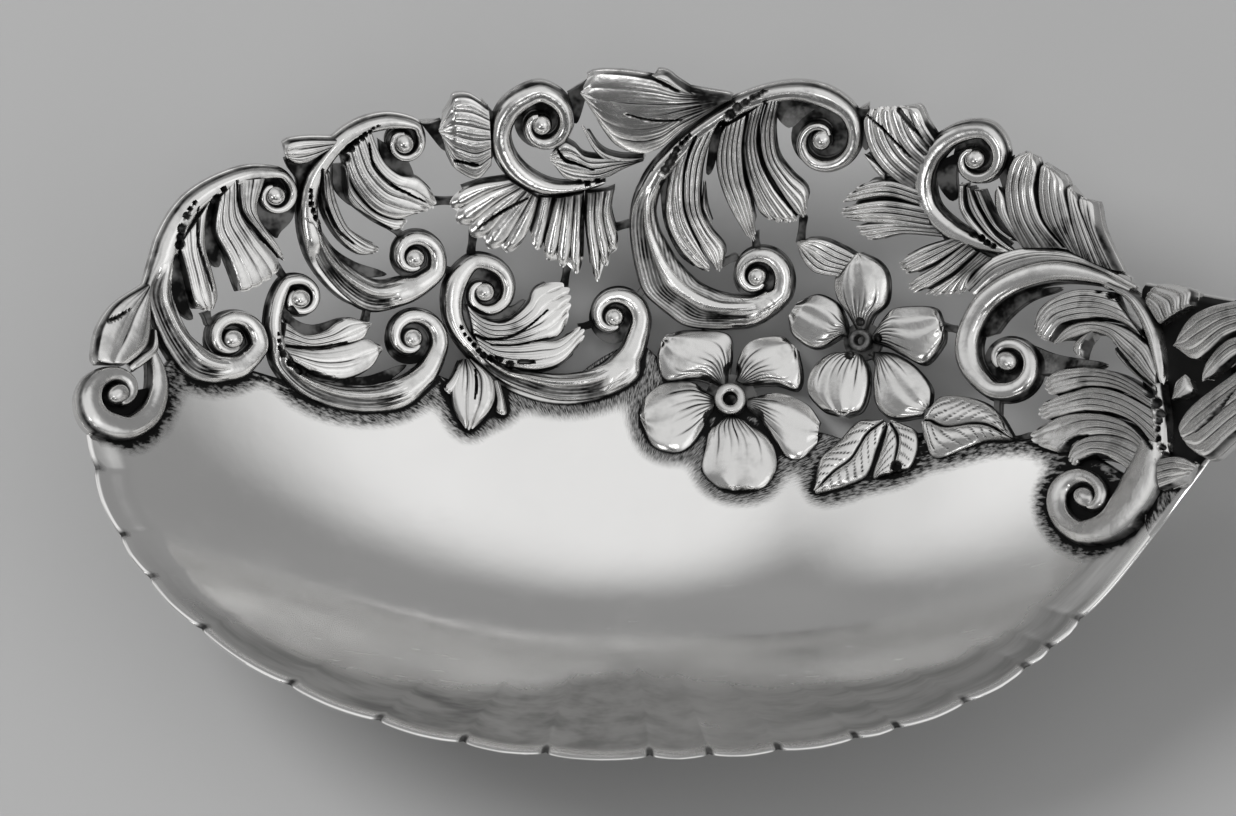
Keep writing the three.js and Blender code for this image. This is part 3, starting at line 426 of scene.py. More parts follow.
fall = CREST - HANDLE_BACK
stem_at = np.array([0.07, 0.14, 0.27, 0.46, 0.64, 0.8, 0.92, 0.97, 1])
stem_x = NECK_REACH + (HANDLE_END - NECK_REACH) * stem_at
stem_half = [
    (NECK_HALF_WIDTH + STEM_HALF) / 2, STEM_HALF, STEM_HALF, 1.2 * STEM_HALF, 0.5 * TERMINAL_HALF,
    0.82 * TERMINAL_HALF, TERMINAL_HALF, 0.8 * TERMINAL_HALF, 0.3 * TERMINAL_HALF,
]
stem_z = CREST - fall * np.array([0.03, 0, 0.05, 0.27, 0.55, 0.8, 0.95, 0.985, 1])
lap_x = np.array([45.5, 48.5, 51.5, 54.5])
lap_half = NECK_HALF_WIDTH * np.array([0.7, 0.8, 0.94, 0.85])
lap_z = bowl_height(lap_x, 0 * lap_x)
handle_line = course(np.vstack([
    np.stack([lap_x, lap_half, lap_z], -1), np.stack([stem_x, stem_half, stem_z], -1),
]), 500)
handle_way = np.gradient(handle_line[:, [0, 2]], axis=0)
handle_way /= np.linalg.norm(handle_way, axis=1)[:, None]
wide = handle_line[:, 1:2]
lapped = ease((handle_line[:, 0:1] - 51.85) / 0.25)
front, back = -0.7 + 1.3 * lapped, -2.2 + 0.6 * lapped
t = np.linspace(1, -1, 61)[None, :]
inner = np.maximum(0.4 * wide, wide - 1)
thread = np.sin(math.pi * np.clip((wide * np.abs(t) - inner) / (wide - inner), 0, 1)) ** 0.8
crown = np.clip(1 - (wide * t / inner) ** 2, 0, 1)
handle_top = front + 0.4 * np.maximum(thread, crown) * lapped
round_off = np.sqrt(np.clip(1 - ((np.abs(t) - 0.97) / 0.03).clip(0) ** 2, 0, 1))
handle_top = back + (handle_top - back) * (0.55 + 0.45 * round_off)
under = np.linspace(-0.9, 0.9, 15)[None, :]
handle_side = np.hstack([wide * t, wide * under])
handle_off = np.hstack([handle_top, back + 0 * under])
handle_grid = np.stack([
    handle_line[:, 0:1] - handle_way[:, 1:2] * handle_off,
    handle_side,
    handle_line[:, 2:3] + handle_way[:, 0:1] * handle_off,
], -1)
channel = 0.75 * ease((0.22 - thread - crown) / 0.2)
handle_ink = np.maximum(channel, ease((53.6 - handle_line[:, 0:1]) / 0.8))
handle_ink = np.hstack([handle_ink, 0 * back + 0 * under])

satin, wire = new_finish("handle_silver")
wear = wire.cloud(300.0, 4.0, 0.65)
dark = (wire.stained("oxide") * (0.6 + 0.7 * wear)).at_most(0.95)
rough = 0.2 + 0.12 * wear.ramp(0.4, 0.75) + 0.35 * dark
hammered = 0.8 * wire.cloud(70.0, 1.0) + 0.15 * wire.cloud(900.0)
finish_metal(dark, rough, hammered, 0.00008)
handle = skin("handle_stem", [handle_grid], satin)
stain(handle, "oxide", [with_ends(handle_ink)])
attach(handle, "root")
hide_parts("handle")

# Large acanthus scroll: cast and chased silver, its spine a rounded band wound into a volute at each
# end, with leaf lobes springing from the spine and a row of punched pits along their roots. It is
# soldered to the seam and to its neighbours, and the recesses are left black with sulphide.
chased, wire = new_finish("oxidised_silver")
oxide = wire.stained("oxide")
grain = wire.cloud(3200.0, 3.0, 0.6)
wear = wire.cloud(420.0, 3.0, 0.6)
# Broad grey patches over the bright metal are painted dark reflections.
dark_reflection_patches = wire.cloud(330.0, 3.0, 0.6).ramp(0.48, 0.74)
held = (oxide + 0.4 * oxide * (grain - 0.5) + 0.3 * dark_reflection_patches).ramp(0, 0.78)
dark = held * (0.82 + 0.18 * wear.ramp(0.4, 0.6))
rough = 0.15 + 0.1 * wear.ramp(0.4, 0.75) + 0.35 * dark
uneven = 0.7 * wire.cloud(700.0, 2.0) + 0.12 * grain
finish_metal(dark, rough, uneven, 0.00007, tone=(0.77, 0.765, 0.755))

CHART_STEP = 0.5
chart_u, chart_v = np.arange(-56, 60.01, CHART_STEP), np.arange(-40, 44.01, CHART_STEP)
chart_x, chart_y = drape(*np.meshgrid(chart_u, chart_v))
chart = np.concatenate([off_bowl(chart_x, chart_y, 0 * chart_x), bowl_normal(chart_x, chart_y)], -1)


def on_bowl(u, v, h):
    """Lays board points on the bowl, h off its outer face: the chart's four nearest points blended
    by distance, plus h times their blended normal."""
    col, row = (u - chart_u[0]) / CHART_STEP, (v - chart_v[0]) / CHART_STEP
    i, j = np.floor(row).astype(int), np.floor(col).astype(int)
    p, q = (row - i)[..., None], (col - j)[..., None]
    low = chart[i, j] * (1 - q) + chart[i, j + 1] * q
    high = chart[i + 1, j] * (1 - q) + chart[i + 1, j + 1] * q
    both = low * (1 - p) + high * p
    return both[..., :3] + h[..., None] * both[..., 3:]


def rounded(t):
    """Section of a flattened round bar over t from side to side: one less t to the power 2.5, all to the
    power 0.55, stopped just short of the sides, where it would stand upright."""
    return (1 - np.abs(0.985 * t) ** 2.5) ** 0.55


def band(s, t, half):
    """A round spine of even section along its length s, which it doesn't use: the rounded bar, lower by
    the square root of its half width where it is slim, with its foot left dark."""
    rise = 0.1 + 0.92 * np.sqrt(np.clip(half, 0.15, 1)) * rounded(t)
    return SHEET + rise, 0.7 * ease((np.abs(t) - 0.86) / 0.14)


def dipped(first, last):
    """The round spine of an acanthus, run down low from share first to share last of its length, where
    the wide lower band of the leaf covers it."""
    def crown(s, t, half):
        top, ink = band(s, t, half)
        low = ease((s - first) / 0.03) * ease((last - s) / 0.03)
        return top + low * (SHEET + 0.2 - top), ink
    return crown


THREAD_PITCH = 0.3


def striped(s, q, wide):
    """The wide lower band of an acanthus from its outer to its inner edge: a bright lip, a dark channel
    with fine threads, the round crest and a low apron; at both ends it closes to the round spine."""
    at = [0, 0.03, 0.1, 0.18, 0.25, 0.34, 0.44, 0.52, 0.62, 0.74, 0.8, 0.92, 1]
    rise = np.interp(q, at, [0.2, 0.38, 0.5, 0.52, 0.44, 0.46, 0.6, 0.92, 1.06, 0.9, 0.6, 0.5, 0.25])
    shade = np.interp(q, at, [0.85, 0.45, 0.55, 0.65, 0.9, 0.95, 0.85, 0.2, 0, 0, 0.6, 0.45, 0.9])
    open_run = ease((s - 0.03) / 0.16) * ease((0.84 - s + 0.05 * np.sin(40 * q)) / 0.14)
    full = 0.1 + 0.9 * rounded(2 * q - 1)
    threads = 0.72 + 0.28 * np.cos(2 * math.pi * wide * q / THREAD_PITCH)
    ink = open_run * shade * threads + (1 - open_run) * 0.6 * ease((np.abs(2 * q - 1) - 0.9) / 0.1)
    return SHEET + open_run * rise + (1 - open_run) * full, ink


def fluted(flutes, rise, lean, root, swell, dome):
    """A pleated leaf: flutes side by side that swell by a share of its rise, fullest in the middle of
    their length, a dome over all, a cut line in each valley, a finer one on each flank and the tips
    bent down; it leans across by so many millimetres and is darkened with painted shade from its
    root to the middle."""
    def crown(s, q, wide):
        part = flutes * q - np.floor(np.minimum(flutes * q, flutes - 1e-6))
        wave = np.sin(math.pi * np.clip(part, 0, 1) ** 0.85).clip(0) ** 0.7
        valley = np.rint(flutes * q)
        body = 0.55 + 0.45 * np.sin(math.pi * s**0.8) - 0.25 * ease((s - 0.92) / 0.08)
        top = SHEET + 0.15 + rise * body * (1 - swell + swell * wave) + dome * (1 - (2 * q - 1) ** 2)
        top = top + lean * (2 * q - 1) * np.sin(math.pi * np.clip(0.1 + 0.8 * s, 0, 1))
        flute = wide / flutes
        shut = ease((s - 0.04) / 0.08) * ease((0.98 - 0.3 * (0.618 * valley % 1) - s) / 0.2)
        ink = 0.85 * np.exp(-((np.minimum(part, 1 - part) * flute / 0.06) ** 2)) * shut
        for at in (0.36, 0.68):
            fine = np.exp(-(((part - at) * flute / 0.035) ** 2))
            fine = fine * ease((s - 0.12) / 0.15) * ease((0.78 - s) / 0.2)
            top = top - 0.03 * fine
            ink = np.maximum(ink, 0.45 * fine)
        reach = 0.6 + 0.1 * np.cos(9 * q * flutes)
        # The root share darkens the leaf from its root towards the middle as painted shade.
        return np.maximum(top, SHEET), ink + (1 - ink) * root * ease((reach - s) / 0.5)
    return crown


def level(height, ink):
    """A flat crown, of one height and one ink all over."""
    def crown(along, across, wide):
        even = 0 * along * across * wide
        return height + even, ink + even
    return crown


def unit(step):
    """A step divided by its own length."""
    return step / np.linalg.norm(step)


UNDERSIDE = -1
FOOT_H = np.array([0.28, 0.3, 0.7, 0.72])
FOOT_INK = np.array([UNDERSIDE, 1, 1, 1])
GROUND_H, WEB_H, WEB_HALF = 0.85, 0.95, 0.32
CUT_FLOOR, GROOVE_DEPTH = 0.8, 0.45
EYE_BEAD, EYE_TURN, EYE_HALF = 0.92, 0.74, 0.3
NO_POINTS = np.empty((0, 3))


class Chased:
    """One chased ornament: grids of board position, height and ink, laid on the bowl at the end. The ink
    runs from nought on bright metal to one where it is black; the underside has a mark of its own,
    because it is wiped clean."""

    made = []

    def __init__(self, node, lift=0.0):
        self.node, self.lift = node, lift
        self.grids, self.cuts = [], []

    def blade(self, points, crown, along, across):
        """A section carried along the spline of [u, v, half width] points: the crown on top, upright
        sides, and a thin dark web that stands out all round at the foot; the tip is rounded off."""
        path = course(points, along)
        step = np.gradient(path[:, :2], axis=0)
        step /= np.linalg.norm(step, axis=1)[:, None]
        s, t = np.linspace(0, 1, along)[:, None], np.linspace(-1, 1, across)[None, :]
        run = np.hypot(*np.diff(path[:, :2], axis=0).T).sum()
        tip = 1.6 * max(path[-1, 2], 0.2) / run
        nib = 1 - np.clip((s - 1 + tip) / tip, 0, 1) ** 2
        half = np.maximum(path[:, 2:3], 0.12) * np.sqrt(np.maximum(nib, 0.01))
        top, ink = crown(s, t, half)
        foot = np.ones((along, 1))
        out = half + np.array([[0.03, 0.09, 0.09, 0.02]])
        side = np.hstack([-out, t * half, out[:, ::-1]])
        h = np.hstack([foot * FOOT_H, top + 0 * s, foot * FOOT_H[::-1]])
        dark = np.hstack([foot * FOOT_INK, ink + 0 * s, foot * FOOT_INK[::-1]])
        u = path[:, 0:1] - step[:, 1:2] * side
        v = path[:, 1:2] + step[:, 0:1] * side
        self.grids.append([u, v, h + self.lift, np.clip(dark, UNDERSIDE, 1)])

    def turned(self, at, profile, ink, sides=40):
        """A button turned about a point of the board from [radius, height] rows, with an ink for each."""
        profile = np.asarray(profile, float)
        angle = np.linspace(0, 2 * math.pi, sides, endpoint=False)
        u = at[0] + profile[:, :1] * np.cos(angle)
        v = at[1] + profile[:, :1] * np.sin(angle)
        h = np.repeat(profile[:, 1:], sides, 1)
        dark = np.repeat(np.asarray(ink, float)[:, None], sides, 1)
        self.grids.append([u, v, h + self.lift, dark])

    def volute(self, join, eye, turns):
        """Points that wind from the end of a band in to an eye, the radius and the half width falling
        evenly with the angle; a dark cup lies under the turns and a round bead stands on the eye."""
        start = math.atan2(join[1] - eye[1], join[0] - eye[0])
        outer = math.hypot(join[0] - eye[0], join[1] - eye[1])
        count = math.ceil(abs(turns) * 9)
        share = np.arange(1, count + 1) / count
        radius = outer + (EYE_TURN - outer) * share
        angle = start - 2 * math.pi * 0.84 * turns * share
        half = join[2] + (EYE_HALF - join[2]) * share
        bed = 0.86 * outer
        cup = [
            [0.02, 0.2], [bed - 0.06, 0.2], [bed, 0.22], [bed, 0.5], [0.6 * bed, 0.45], [0.02, 0.45],
        ]
        self.turned(eye, cup, [UNDERSIDE, UNDERSIDE, 1, 1, 1, 1], 48)
        lat = np.linspace(0, math.pi / 2, 10)
        bead = np.stack([EYE_BEAD * np.cos(lat), SHEET + 0.05 + 1.1 * np.sin(lat)], -1)
        rows = [[0.02, 0.4], [EYE_BEAD, 0.4], *bead, [0.02, SHEET + 1.15]]
        self.turned(eye, rows, [1, 1, 0.8, *[0] * len(bead)])
        return np.stack([eye[0] + radius * np.cos(angle), eye[1] + radius * np.sin(angle), half], -1)

    def scroll(self, through, start=None, end=None, under=None):
        """A band through its points, wound into a volute of (eye, turns) at either end, and dipped
        between the two points that under counts."""
        head = self.volute(through[0], *start)[::-1] if start else NO_POINTS
        tail = self.volute(through[-1], *end) if end else NO_POINTS
        points = np.vstack([head, through, tail])
        crown = dipped(*((len(head) + np.array(under)) / (len(points) - 1))) if under else band
        self.blade(points, crown, along=20 * len(points), across=40)

    # root is the share of painted shade that darkens a fluted leaf from its root to the middle.
    def ribbon(self, left, right, flutes, rise=0.7, notch=0.03, lean=0.0, root=0.15, crown=None,
               swell=0.24, dome=0.2, tip=0.07, tuck=0.25):
        """A leaf between two edges drawn from root to tip: rungs join equal shares of the two edges,
        the crown stands across them, the tip is rounded back at its corners by a share and between
        flutes notched back by another. A leaf without a crown of its own is fluted, its corners are
        rounded, and it is drawn out a little at its root, to tuck it under."""
        along, across = 84, max(24, 12 * flutes + 1)
        share = np.linspace(0, 1, along)
        s, q = share[:, None], np.linspace(0, 1, across)[None, :]
        if crown:
            tip = 0
        else:
            crown = fluted(flutes, rise, lean, root, swell, dome)
            left, right = np.array(left, float), np.array(right, float)
            left, right = (
                np.vstack([edge[0] - tuck * unit(edge[1] - edge[0]), edge]) for edge in (left, right)
            )
        valley = 1 - np.abs(np.sin(math.pi * flutes * q)) ** 0.6
        back = s * (1 - notch * valley - tip * np.abs(2 * q - 1) ** 3)
        from_left, from_right = course(left, along).T, course(right, along).T
        u, v = (
            (1 - q) * np.interp(back, share, one) + q * np.interp(back, share, other)
            for one, other in zip(from_left, from_right)
        )
        gap_u, gap_v = u[:, :1] - u[:, -1:], v[:, :1] - v[:, -1:]
        wide = np.hypot(gap_u, gap_v) + 0.001
        top, ink = crown(s, q, wide)
        side = np.array([[0.02, 0.08, 0.08, 0.02]])
        out_u, out_v = gap_u / wide, gap_v / wide
        foot, low = np.repeat([FOOT_INK], along, 0), np.repeat([FOOT_H], along, 0)
        u = np.hstack([u[:, :1] + out_u * side, u, u[:, -1:] - out_u * side[:, ::-1]])
        v = np.hstack([v[:, :1] + out_v * side, v, v[:, -1:] - out_v * side[:, ::-1]])
        h = np.hstack([low, top + 0 * s, low[:, ::-1]])
        dark = np.hstack([foot, ink + 0 * s, foot[:, ::-1]])
        self.grids.append([u, v, h + self.lift, np.clip(dark, UNDERSIDE, 1)])

    def ground(self, left, right, ink=1.0):
        """Low dark metal left between two edges, closing to a rounded end."""
        edges = course(left, 24), course(right, 24)
        middle = (edges[0] + edges[1]) / 2
        taper = np.sqrt(1 - np.linspace(0, 0.999, 24)[:, None] ** 2.5)
        left, right = (middle + (edge - middle) * taper for edge in edges)
        self.ribbon(left, right, 2, notch=0, crown=level(GROUND_H, ink))

    def webs(self, *rows):
        """Short low bars of dark metal, each between the two points of its row and waisted midway, that
        join neighbouring castings."""
        for u0, v0, u1, v1 in rows:
            waist = [(u0 + u1) / 2, (v0 + v1) / 2, 0.7 * WEB_HALF]
            points = [[u0, v0, WEB_HALF], waist, [u1, v1, WEB_HALF]]
            self.blade(points, level(WEB_H, 1), along=14, across=8)

    def pits(self, *holes, depth=0.7):
        """Round punched pits of [u, v, radius], a little wider than they are drawn."""
        self.cuts += [(np.array([hole, hole], float) * [1, 1, 1.3], depth) for hole in holes]

    def grooves(self, *paths):
        """Cut grooves, each through its [u, v, half width] points."""
        self.cuts += [(course(points, 160), GROOVE_DEPTH) for points in paths]

    def lay(self):
        """Sinks the pits and grooves by their depth times one less the square of the distance over
        their half width, to the power 0.7, and blackens them; then lays the grids as one piece."""
        for path, depth in self.cuts:
            for grid in self.grids:
                u, v, h, ink = grid
                close = np.abs(u - path[:, 0].mean()) < np.ptp(path[:, 0]) + 2
                close &= np.abs(v - path[:, 1].mean()) < np.ptp(path[:, 1]) + 2
                close &= h > SHEET
                off_u, off_v = u[close][:, None] - path[:, 0], v[close][:, None] - path[:, 1]
                if close.any():
                    sink = np.clip(1 - (np.hypot(off_u, off_v) / path[:, 2]).min(1) ** 2, 0, 1)
                    h[close] = np.maximum(h[close] - depth * sink**0.7, CUT_FLOOR)
                    ink[close] = np.maximum(ink[close], ease(sink / 0.5))
        tubes = [on_bowl(u, v, h) for u, v, h, _ in self.grids]
        self.piece = skin(self.node + "_chased", tubes, chased)
        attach(self.piece, "root")
        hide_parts(self.node)
        Chased.made.append(self)


large = Chased("acanthus_scroll_large")
large.ribbon(
    [[11.8, 26.8], [11.2, 24.4], [11.5, 21.9], [12.7, 19.6], [14.1, 17.5], [14.9, 16.6]],
    [[12.7, 26.7], [12.4, 24.4], [12.7, 22.2], [13.8, 20.6], [15.1, 19.3], [15.3, 17.7]], 3, lean=-0.1,
)
large.ribbon(
    [[10, 25.5], [9.6, 23.1], [9.9, 20.5], [10.7, 18.1], [11.6, 16.5]],
    [[11.6, 26.8], [11, 24.4], [11.3, 21.9], [12.4, 19.5], [13.9, 17.5], [14.8, 16.4]], 4, lean=0.3,
)
large.ribbon(
    [[7.8, 24.3], [7.4, 22.2], [7.6, 20.2], [8.5, 17.8], [10.2, 14.7]],
    [[9.9, 25.5], [9.6, 23.1], [9.8, 20.5], [10.4, 18.3], [11, 15]], 5, lean=0.25,
)
large.ribbon(
    [[5.6, 23.8], [4.9, 22.2], [4.6, 20.2], [4.7, 17.8], [5.4, 15.8], [6.7, 13.4], [7.4, 12.1]],
    [[7.3, 24.4], [6.5, 22.4], [6.1, 20.2], [6.1, 17.7], [6.9, 15.9], [8.1, 14.3], [8, 12.4]], 3,
    lean=-0.05,
)
large.ribbon(
    [[3.3, 20.5], [3, 18.1], [3.2, 16.1], [4.1, 14.2], [5.6, 12.7], [7, 11.9]],
    [[5.5, 23.5], [4.8, 22.1], [4.5, 20.2], [4.6, 17.8], [5.3, 15.8], [6.7, 13.3]], 3, 0.5, lean=0.3,
    root=0.3,
)
large.ribbon([[6.3, 19.5], [6.2, 17.8], [6.7, 16.7]], [[6.4, 19.5], [6.6, 17.8], [7.2, 16.1]], 1, 0.4)
large.ribbon(
    [
        [1.8, 21.22], [0.5, 19], [0, 16.8], [0.1, 14.6], [0.5, 12.4], [1.2, 10.4], [3.1, 8.7],
        [4.8, 7.6], [7.8, 7.3], [10.7, 7.6], [12.9, 9], [12.45, 8.83],
    ],
    [
        [3.16, 20.19], [2.2, 18.1], [2.4, 16.1], [3.1, 14.6], [4.1, 13], [5.6, 11.5], [7, 10.7],
        [8.5, 10.3], [9.7, 10.2], [10.7, 10.2], [11.6, 10.6], [11.49, 10.52],
    ],
    4, crown=striped,
)
large.scroll([
    [18.3, 26, 0.7], [16.3, 27.1, 0.8], [13.6, 27.5, 0.7], [10, 26.6, 0.7], [6.4, 24.5, 0.7],
    [3.8, 22.2, 0.8], [1.8, 19.6, 0.9], [1.1, 16.3, 1], [1.6, 12.9, 1.1], [3.4, 10.1, 1.3],
    [6.4, 8.8, 1.3], [10, 8.8, 1.2], [12.6, 10, 0.9],
], start=([16.4, 23.5], 1.25), end=([10.9, 11.8], -1.2), under=(6, 11.4))
large.grooves(
    [[11.6, 27, 0.13], [11, 24.4, 0.13], [11.2, 22.2, 0.13], [12.2, 19.9, 0.1], [13.8, 17.7, 0.06]],
    [[5.6, 23.9, 0.15], [4.9, 22.1, 0.13], [4.6, 20.2, 0.09], [4.6, 18.1, 0.07], [5.1, 16.4, 0.06]],
    [[7.9, 25, 0.38], [7.4, 24, 0.35], [7, 22.5, 0.32], [6.9, 21, 0.18]],
    [
        [2.8, 19.9, 0.35], [2.8, 18.7, 0.2], [2.8, 17.1, 0.2], [3.2, 15.6, 0.23], [4.1, 14, 0.2],
        [5.3, 12.8, 0.13],
    ],
    [[10.4, 18.5, 0.07], [10.7, 17.5, 0.13], [11.1, 16.7, 0.2]],
)
large.pits(
    [11.6, 27.7, 0.1], [11.3, 27.6, 0.13], [10.9, 27.4, 0.16], [10.5, 27.2, 0.19], [9.9, 26.8, 0.25],
    [9.2, 26.4, 0.31], [8.6, 25.8, 0.37], [5.1, 24, 0.12], [4.8, 23.7, 0.15], [4.4, 23.3, 0.18],
    [4, 22.8, 0.23], [3.7, 22.2, 0.29], [3.4, 21.7, 0.32], [3, 21.1, 0.32],
)
large.ground([[6.9, 24.4], [6.7, 22.4], [6.2, 20.2]], [[7.8, 24.3], [7.4, 22.2], [7.2, 20.5]])
large.ground(
    [[2.6, 19.9], [2.7, 18.1], [3, 16.1], [4.1, 13.7], [5.3, 12.6]],
    [[3.4, 20.3], [3.2, 18.1], [3.4, 16.1], [4.3, 14.2], [5.6, 12.7]],
)
large.ground([[12.5, 26.8], [12.4, 25.4], [12.7, 24.4]], [[16.6, 26.5], [15.1, 25.4], [14.4, 24.3]], 0.5)
large.webs([7.8, 12.9, 9.2, 13.5], [10.6, 15.6, 10.8, 14], [6.4, 6.4, 6.4, 7.8])
large.lay()

# Four smaller acanthus scrolls fill the tip half of the border. Each is the same cast work: a spine
# that starts in a small curl, swells to a smooth fat band below and winds into a volute, with lobes.
first = Chased("acanthus_scroll_1")
first.ribbon(
    [[-35.3, 18.2], [-35.6, 15.7], [-34.5, 13.4], [-33.6, 11.1], [-33.2, 10.1]],
    [[-33.6, 20.1], [-33.4, 17.5], [-32.2, 15.5], [-30.5, 13.6], [-29.7, 12.3]], 4, swell=0.1,
)
first.ribbon(
    [[-33.5, 19.9], [-33.3, 17.5], [-31.9, 15.6], [-30.5, 13.9], [-29.6, 12.8]],
    [[-31.4, 20.1], [-32.1, 17.9], [-31.7, 16.5], [-30.5, 14.9], [-29.9, 14]], 2, swell=0.1, tuck=0.01,
)
first.ribbon(
    [[-38.6, 14.2], [-38, 12], [-37.4, 9.7], [-36.6, 8.7]],
    [[-36.1, 17.9], [-36.5, 14.8], [-36, 12.6], [-35.4, 10.3], [-35.5, 8.9]], 3, swell=0.1,
)
first.ribbon(
    [
        [-40.38, 13.82], [-40.9, 12], [-41.3, 10.3], [-40.8, 8.5], [-39.6, 5.8], [-37.9, 3.5],
        [-35.7, 2.7], [-33.4, 3.2], [-31.89, 4.16],
    ],
    [
        [-38.64, 13.39], [-39.1, 11.6], [-39, 9.5], [-37.9, 7.2], [-36.3, 5.7], [-35.1, 5.1],
        [-33.6, 4.9], [-33.22, 5.36],
    ],
    4, crown=striped,
)
first.scroll([
    [-30.1, 20.5, 0.4], [-32.5, 20.4, 0.6], [-35.3, 19.3, 0.7], [-37.5, 17.6, 0.8], [-39, 15.1, 0.9],
    [-39.7, 12.6, 0.9], [-39.7, 10, 0.9], [-39.1, 7.6, 1], [-37.8, 5.4, 1.1], [-35.7, 4.1, 1.1],
    [-33.4, 4.1, 1], [-31.8, 5.6, 0.8],
], start=([-30.4, 18.7], 1.1), end=([-34, 6.4], -1.1), under=(5, 9.6))
first.grooves(
    [[-33.8, 20, 0.1], [-33.6, 17.7, 0.14], [-32.4, 15.7, 0.14], [-30.7, 14.1, 0.08]],
    [[-37.1, 17.7, 0.08], [-37.2, 14.8, 0.14], [-36.5, 12.4, 0.14], [-35.9, 10.6, 0.1]],
    [
        [-36, 17.7, 0.29], [-36.2, 15.9, 0.37], [-36, 13.8, 0.37], [-35.4, 12.4, 0.29],
        [-33.6, 10.2, 0.19],
    ],
    [[-38.9, 13.3, 0.37], [-39, 11.6, 0.23], [-38.6, 9.5, 0.19], [-37.5, 7.6, 0.14]],
)
first.pits(
    [-34.9, 19.3, 0.21], [-35.5, 18.5, 0.29], [-37.4, 18.1, 0.14], [-37.8, 17.6, 0.16],
    [-38.1, 17, 0.25], [-38.5, 15.9, 0.33], [-38.6, 15.2, 0.31], [-38.7, 14.5, 0.35],
)
first.ground(
    [[-36.4, 17.7], [-36.6, 15.7], [-36.1, 13.6], [-35.6, 12.4]],
    [[-35.2, 18.1], [-35.4, 15.9], [-34.7, 13.6], [-34.4, 12.6]],
)
first.ground(
    [[-39.2, 13], [-39.2, 11.1], [-38.6, 9.1], [-37.4, 7.7]],
    [[-38.2, 13.8], [-38, 11.6], [-37.5, 9.7], [-36.8, 8.6]],
)
first.ground(
    [[-31.7, 20.2], [-32.2, 17.9], [-31.8, 16.5], [-30.3, 14.8]],
    [[-28.6, 18.6], [-28.6, 16.9], [-29, 15.9], [-29.7, 15.2]],
)
first.ground(
    [[-29.3, 21.7], [-29, 20.9], [-28.4, 19.8], [-28.5, 18.3]],
    [[-26.2, 23.3], [-26.9, 21.4], [-27.3, 19.8], [-27.9, 17.2]],
)
first.webs([-30.1, 12.6, -29, 11.2], [-36, 8.8, -35.6, 7.6])
first.lay()

second = Chased("acanthus_scroll_2")
second.ribbon(
    [[-24.6, 21.9], [-23.9, 19.8], [-22.2, 17.7], [-20.2, 16.8], [-18.3, 17.1]],
    [[-22.3, 24.4], [-21.3, 21.9], [-19.9, 20.6], [-18, 20], [-16.1, 18]], 4, swell=0.1,
)
second.ribbon(
    [[-24.6, 20.8], [-24.3, 18.5], [-22.6, 16.9], [-20.9, 15.9], [-19.8, 15.6]],
    [[-24.2, 21.2], [-23.9, 19.5], [-22.2, 17.5], [-20.2, 16.7], [-18.9, 16.9]], 2, 0.6, swell=0.1,
)
second.ribbon(
    [[-26.5, 20.2], [-26.4, 17.7], [-25.2, 15.3], [-23.5, 13.8], [-22.1, 13.6]],
    [[-25.8, 20.6], [-25.3, 18.3], [-24.3, 16.1], [-22.7, 14.9], [-21.3, 14.3]], 3, swell=0.1,
)
second.ribbon(
    [
        [-28.29, 16.9], [-27.7, 15.1], [-26.6, 12.6], [-24.5, 10.1], [-22.1, 8.8],
        [-19.2, 9.4], [-17.57, 10.3],
    ],
    [
        [-26.71, 16.9], [-26.4, 16.1], [-26, 14.8], [-25, 13.4], [-23.3, 12.2], [-21.5, 11.4],
        [-19.6, 11.7], [-18.6, 11.83],
    ],
    4, crown=striped,
)
second.scroll([
    [-18.6, 24.7, 0.4], [-20.9, 24.9, 0.6], [-23.5, 24.1, 0.6], [-25.6, 22.3, 0.6], [-27.2, 19.6, 0.7],
    [-27.5, 16.9, 0.8], [-26.9, 14.2, 0.9], [-25.5, 12.1, 1], [-23.6, 10.5, 1], [-21.1, 10.1, 1],
    [-18.9, 10.6, 1], [-16.9, 11.9, 0.8],
], start=([-19.4, 23.2], 1.1), end=([-18.5, 13.4], -1.15), under=(5.6, 9.6))
second.grooves(
    [
        [-22.5, 23.3, 0.08], [-22.1, 21.4, 0.12], [-20.6, 19.8, 0.14], [-19.1, 19, 0.1],
        [-17.7, 18.3, 0.06],
    ],
    [[-26.5, 21, 0.12], [-26.4, 18.6, 0.16], [-25.4, 16.1, 0.14], [-23.9, 14.7, 0.1]],
    [
        [-24.8, 21, 0.29], [-24.6, 19.4, 0.27], [-24.3, 18.1, 0.21], [-22.5, 16.9, 0.19],
        [-20.6, 15.9, 0.12],
    ],
    [[-26.5, 15.9, 0.25], [-25.2, 14.1, 0.25], [-23.1, 13.3, 0.19]],
)
second.pits(
    [-21.7, 24.8, 0.1], [-22.1, 24.6, 0.12], [-22.4, 24.3, 0.14], [-22.8, 24.1, 0.16],
    [-23.1, 23.8, 0.19], [-23.6, 23.4, 0.21], [-24.1, 22.9, 0.29], [-24.5, 22, 0.31],
    [-27.5, 19.2, 0.14], [-27.5, 18.7, 0.16], [-27.5, 18.1, 0.19], [-27.3, 17.5, 0.19],
    [-27.1, 16.9, 0.21], [-26.6, 15.9, 0.29],
)
second.ground([[-25.3, 21.2], [-25.3, 19.4], [-24.5, 17.7]], [[-24.3, 21.3], [-24, 19.4], [-22.4, 17.5]])
second.ground(
    [[-21.4, 23.3], [-21.1, 21.4], [-20, 20.3]], [[-19.2, 21.9], [-18.7, 21.2], [-17.7, 19.9]],
)
second.ground(
    [[-26.5, 15.9], [-25.2, 14.1], [-23.5, 13.1], [-21.4, 12.6]],
    [[-26.7, 15.3], [-25.3, 12.8], [-23.5, 11.6], [-20.2, 11.4]],
)
second.webs(
    [-16.9, 18.1, -14.6, 18.1], [-20.4, 16, -19.2, 15], [-16.8, 12.8, -15, 12],
    [-22.2, 9.7, -22.6, 7.7],
)
second.lay()

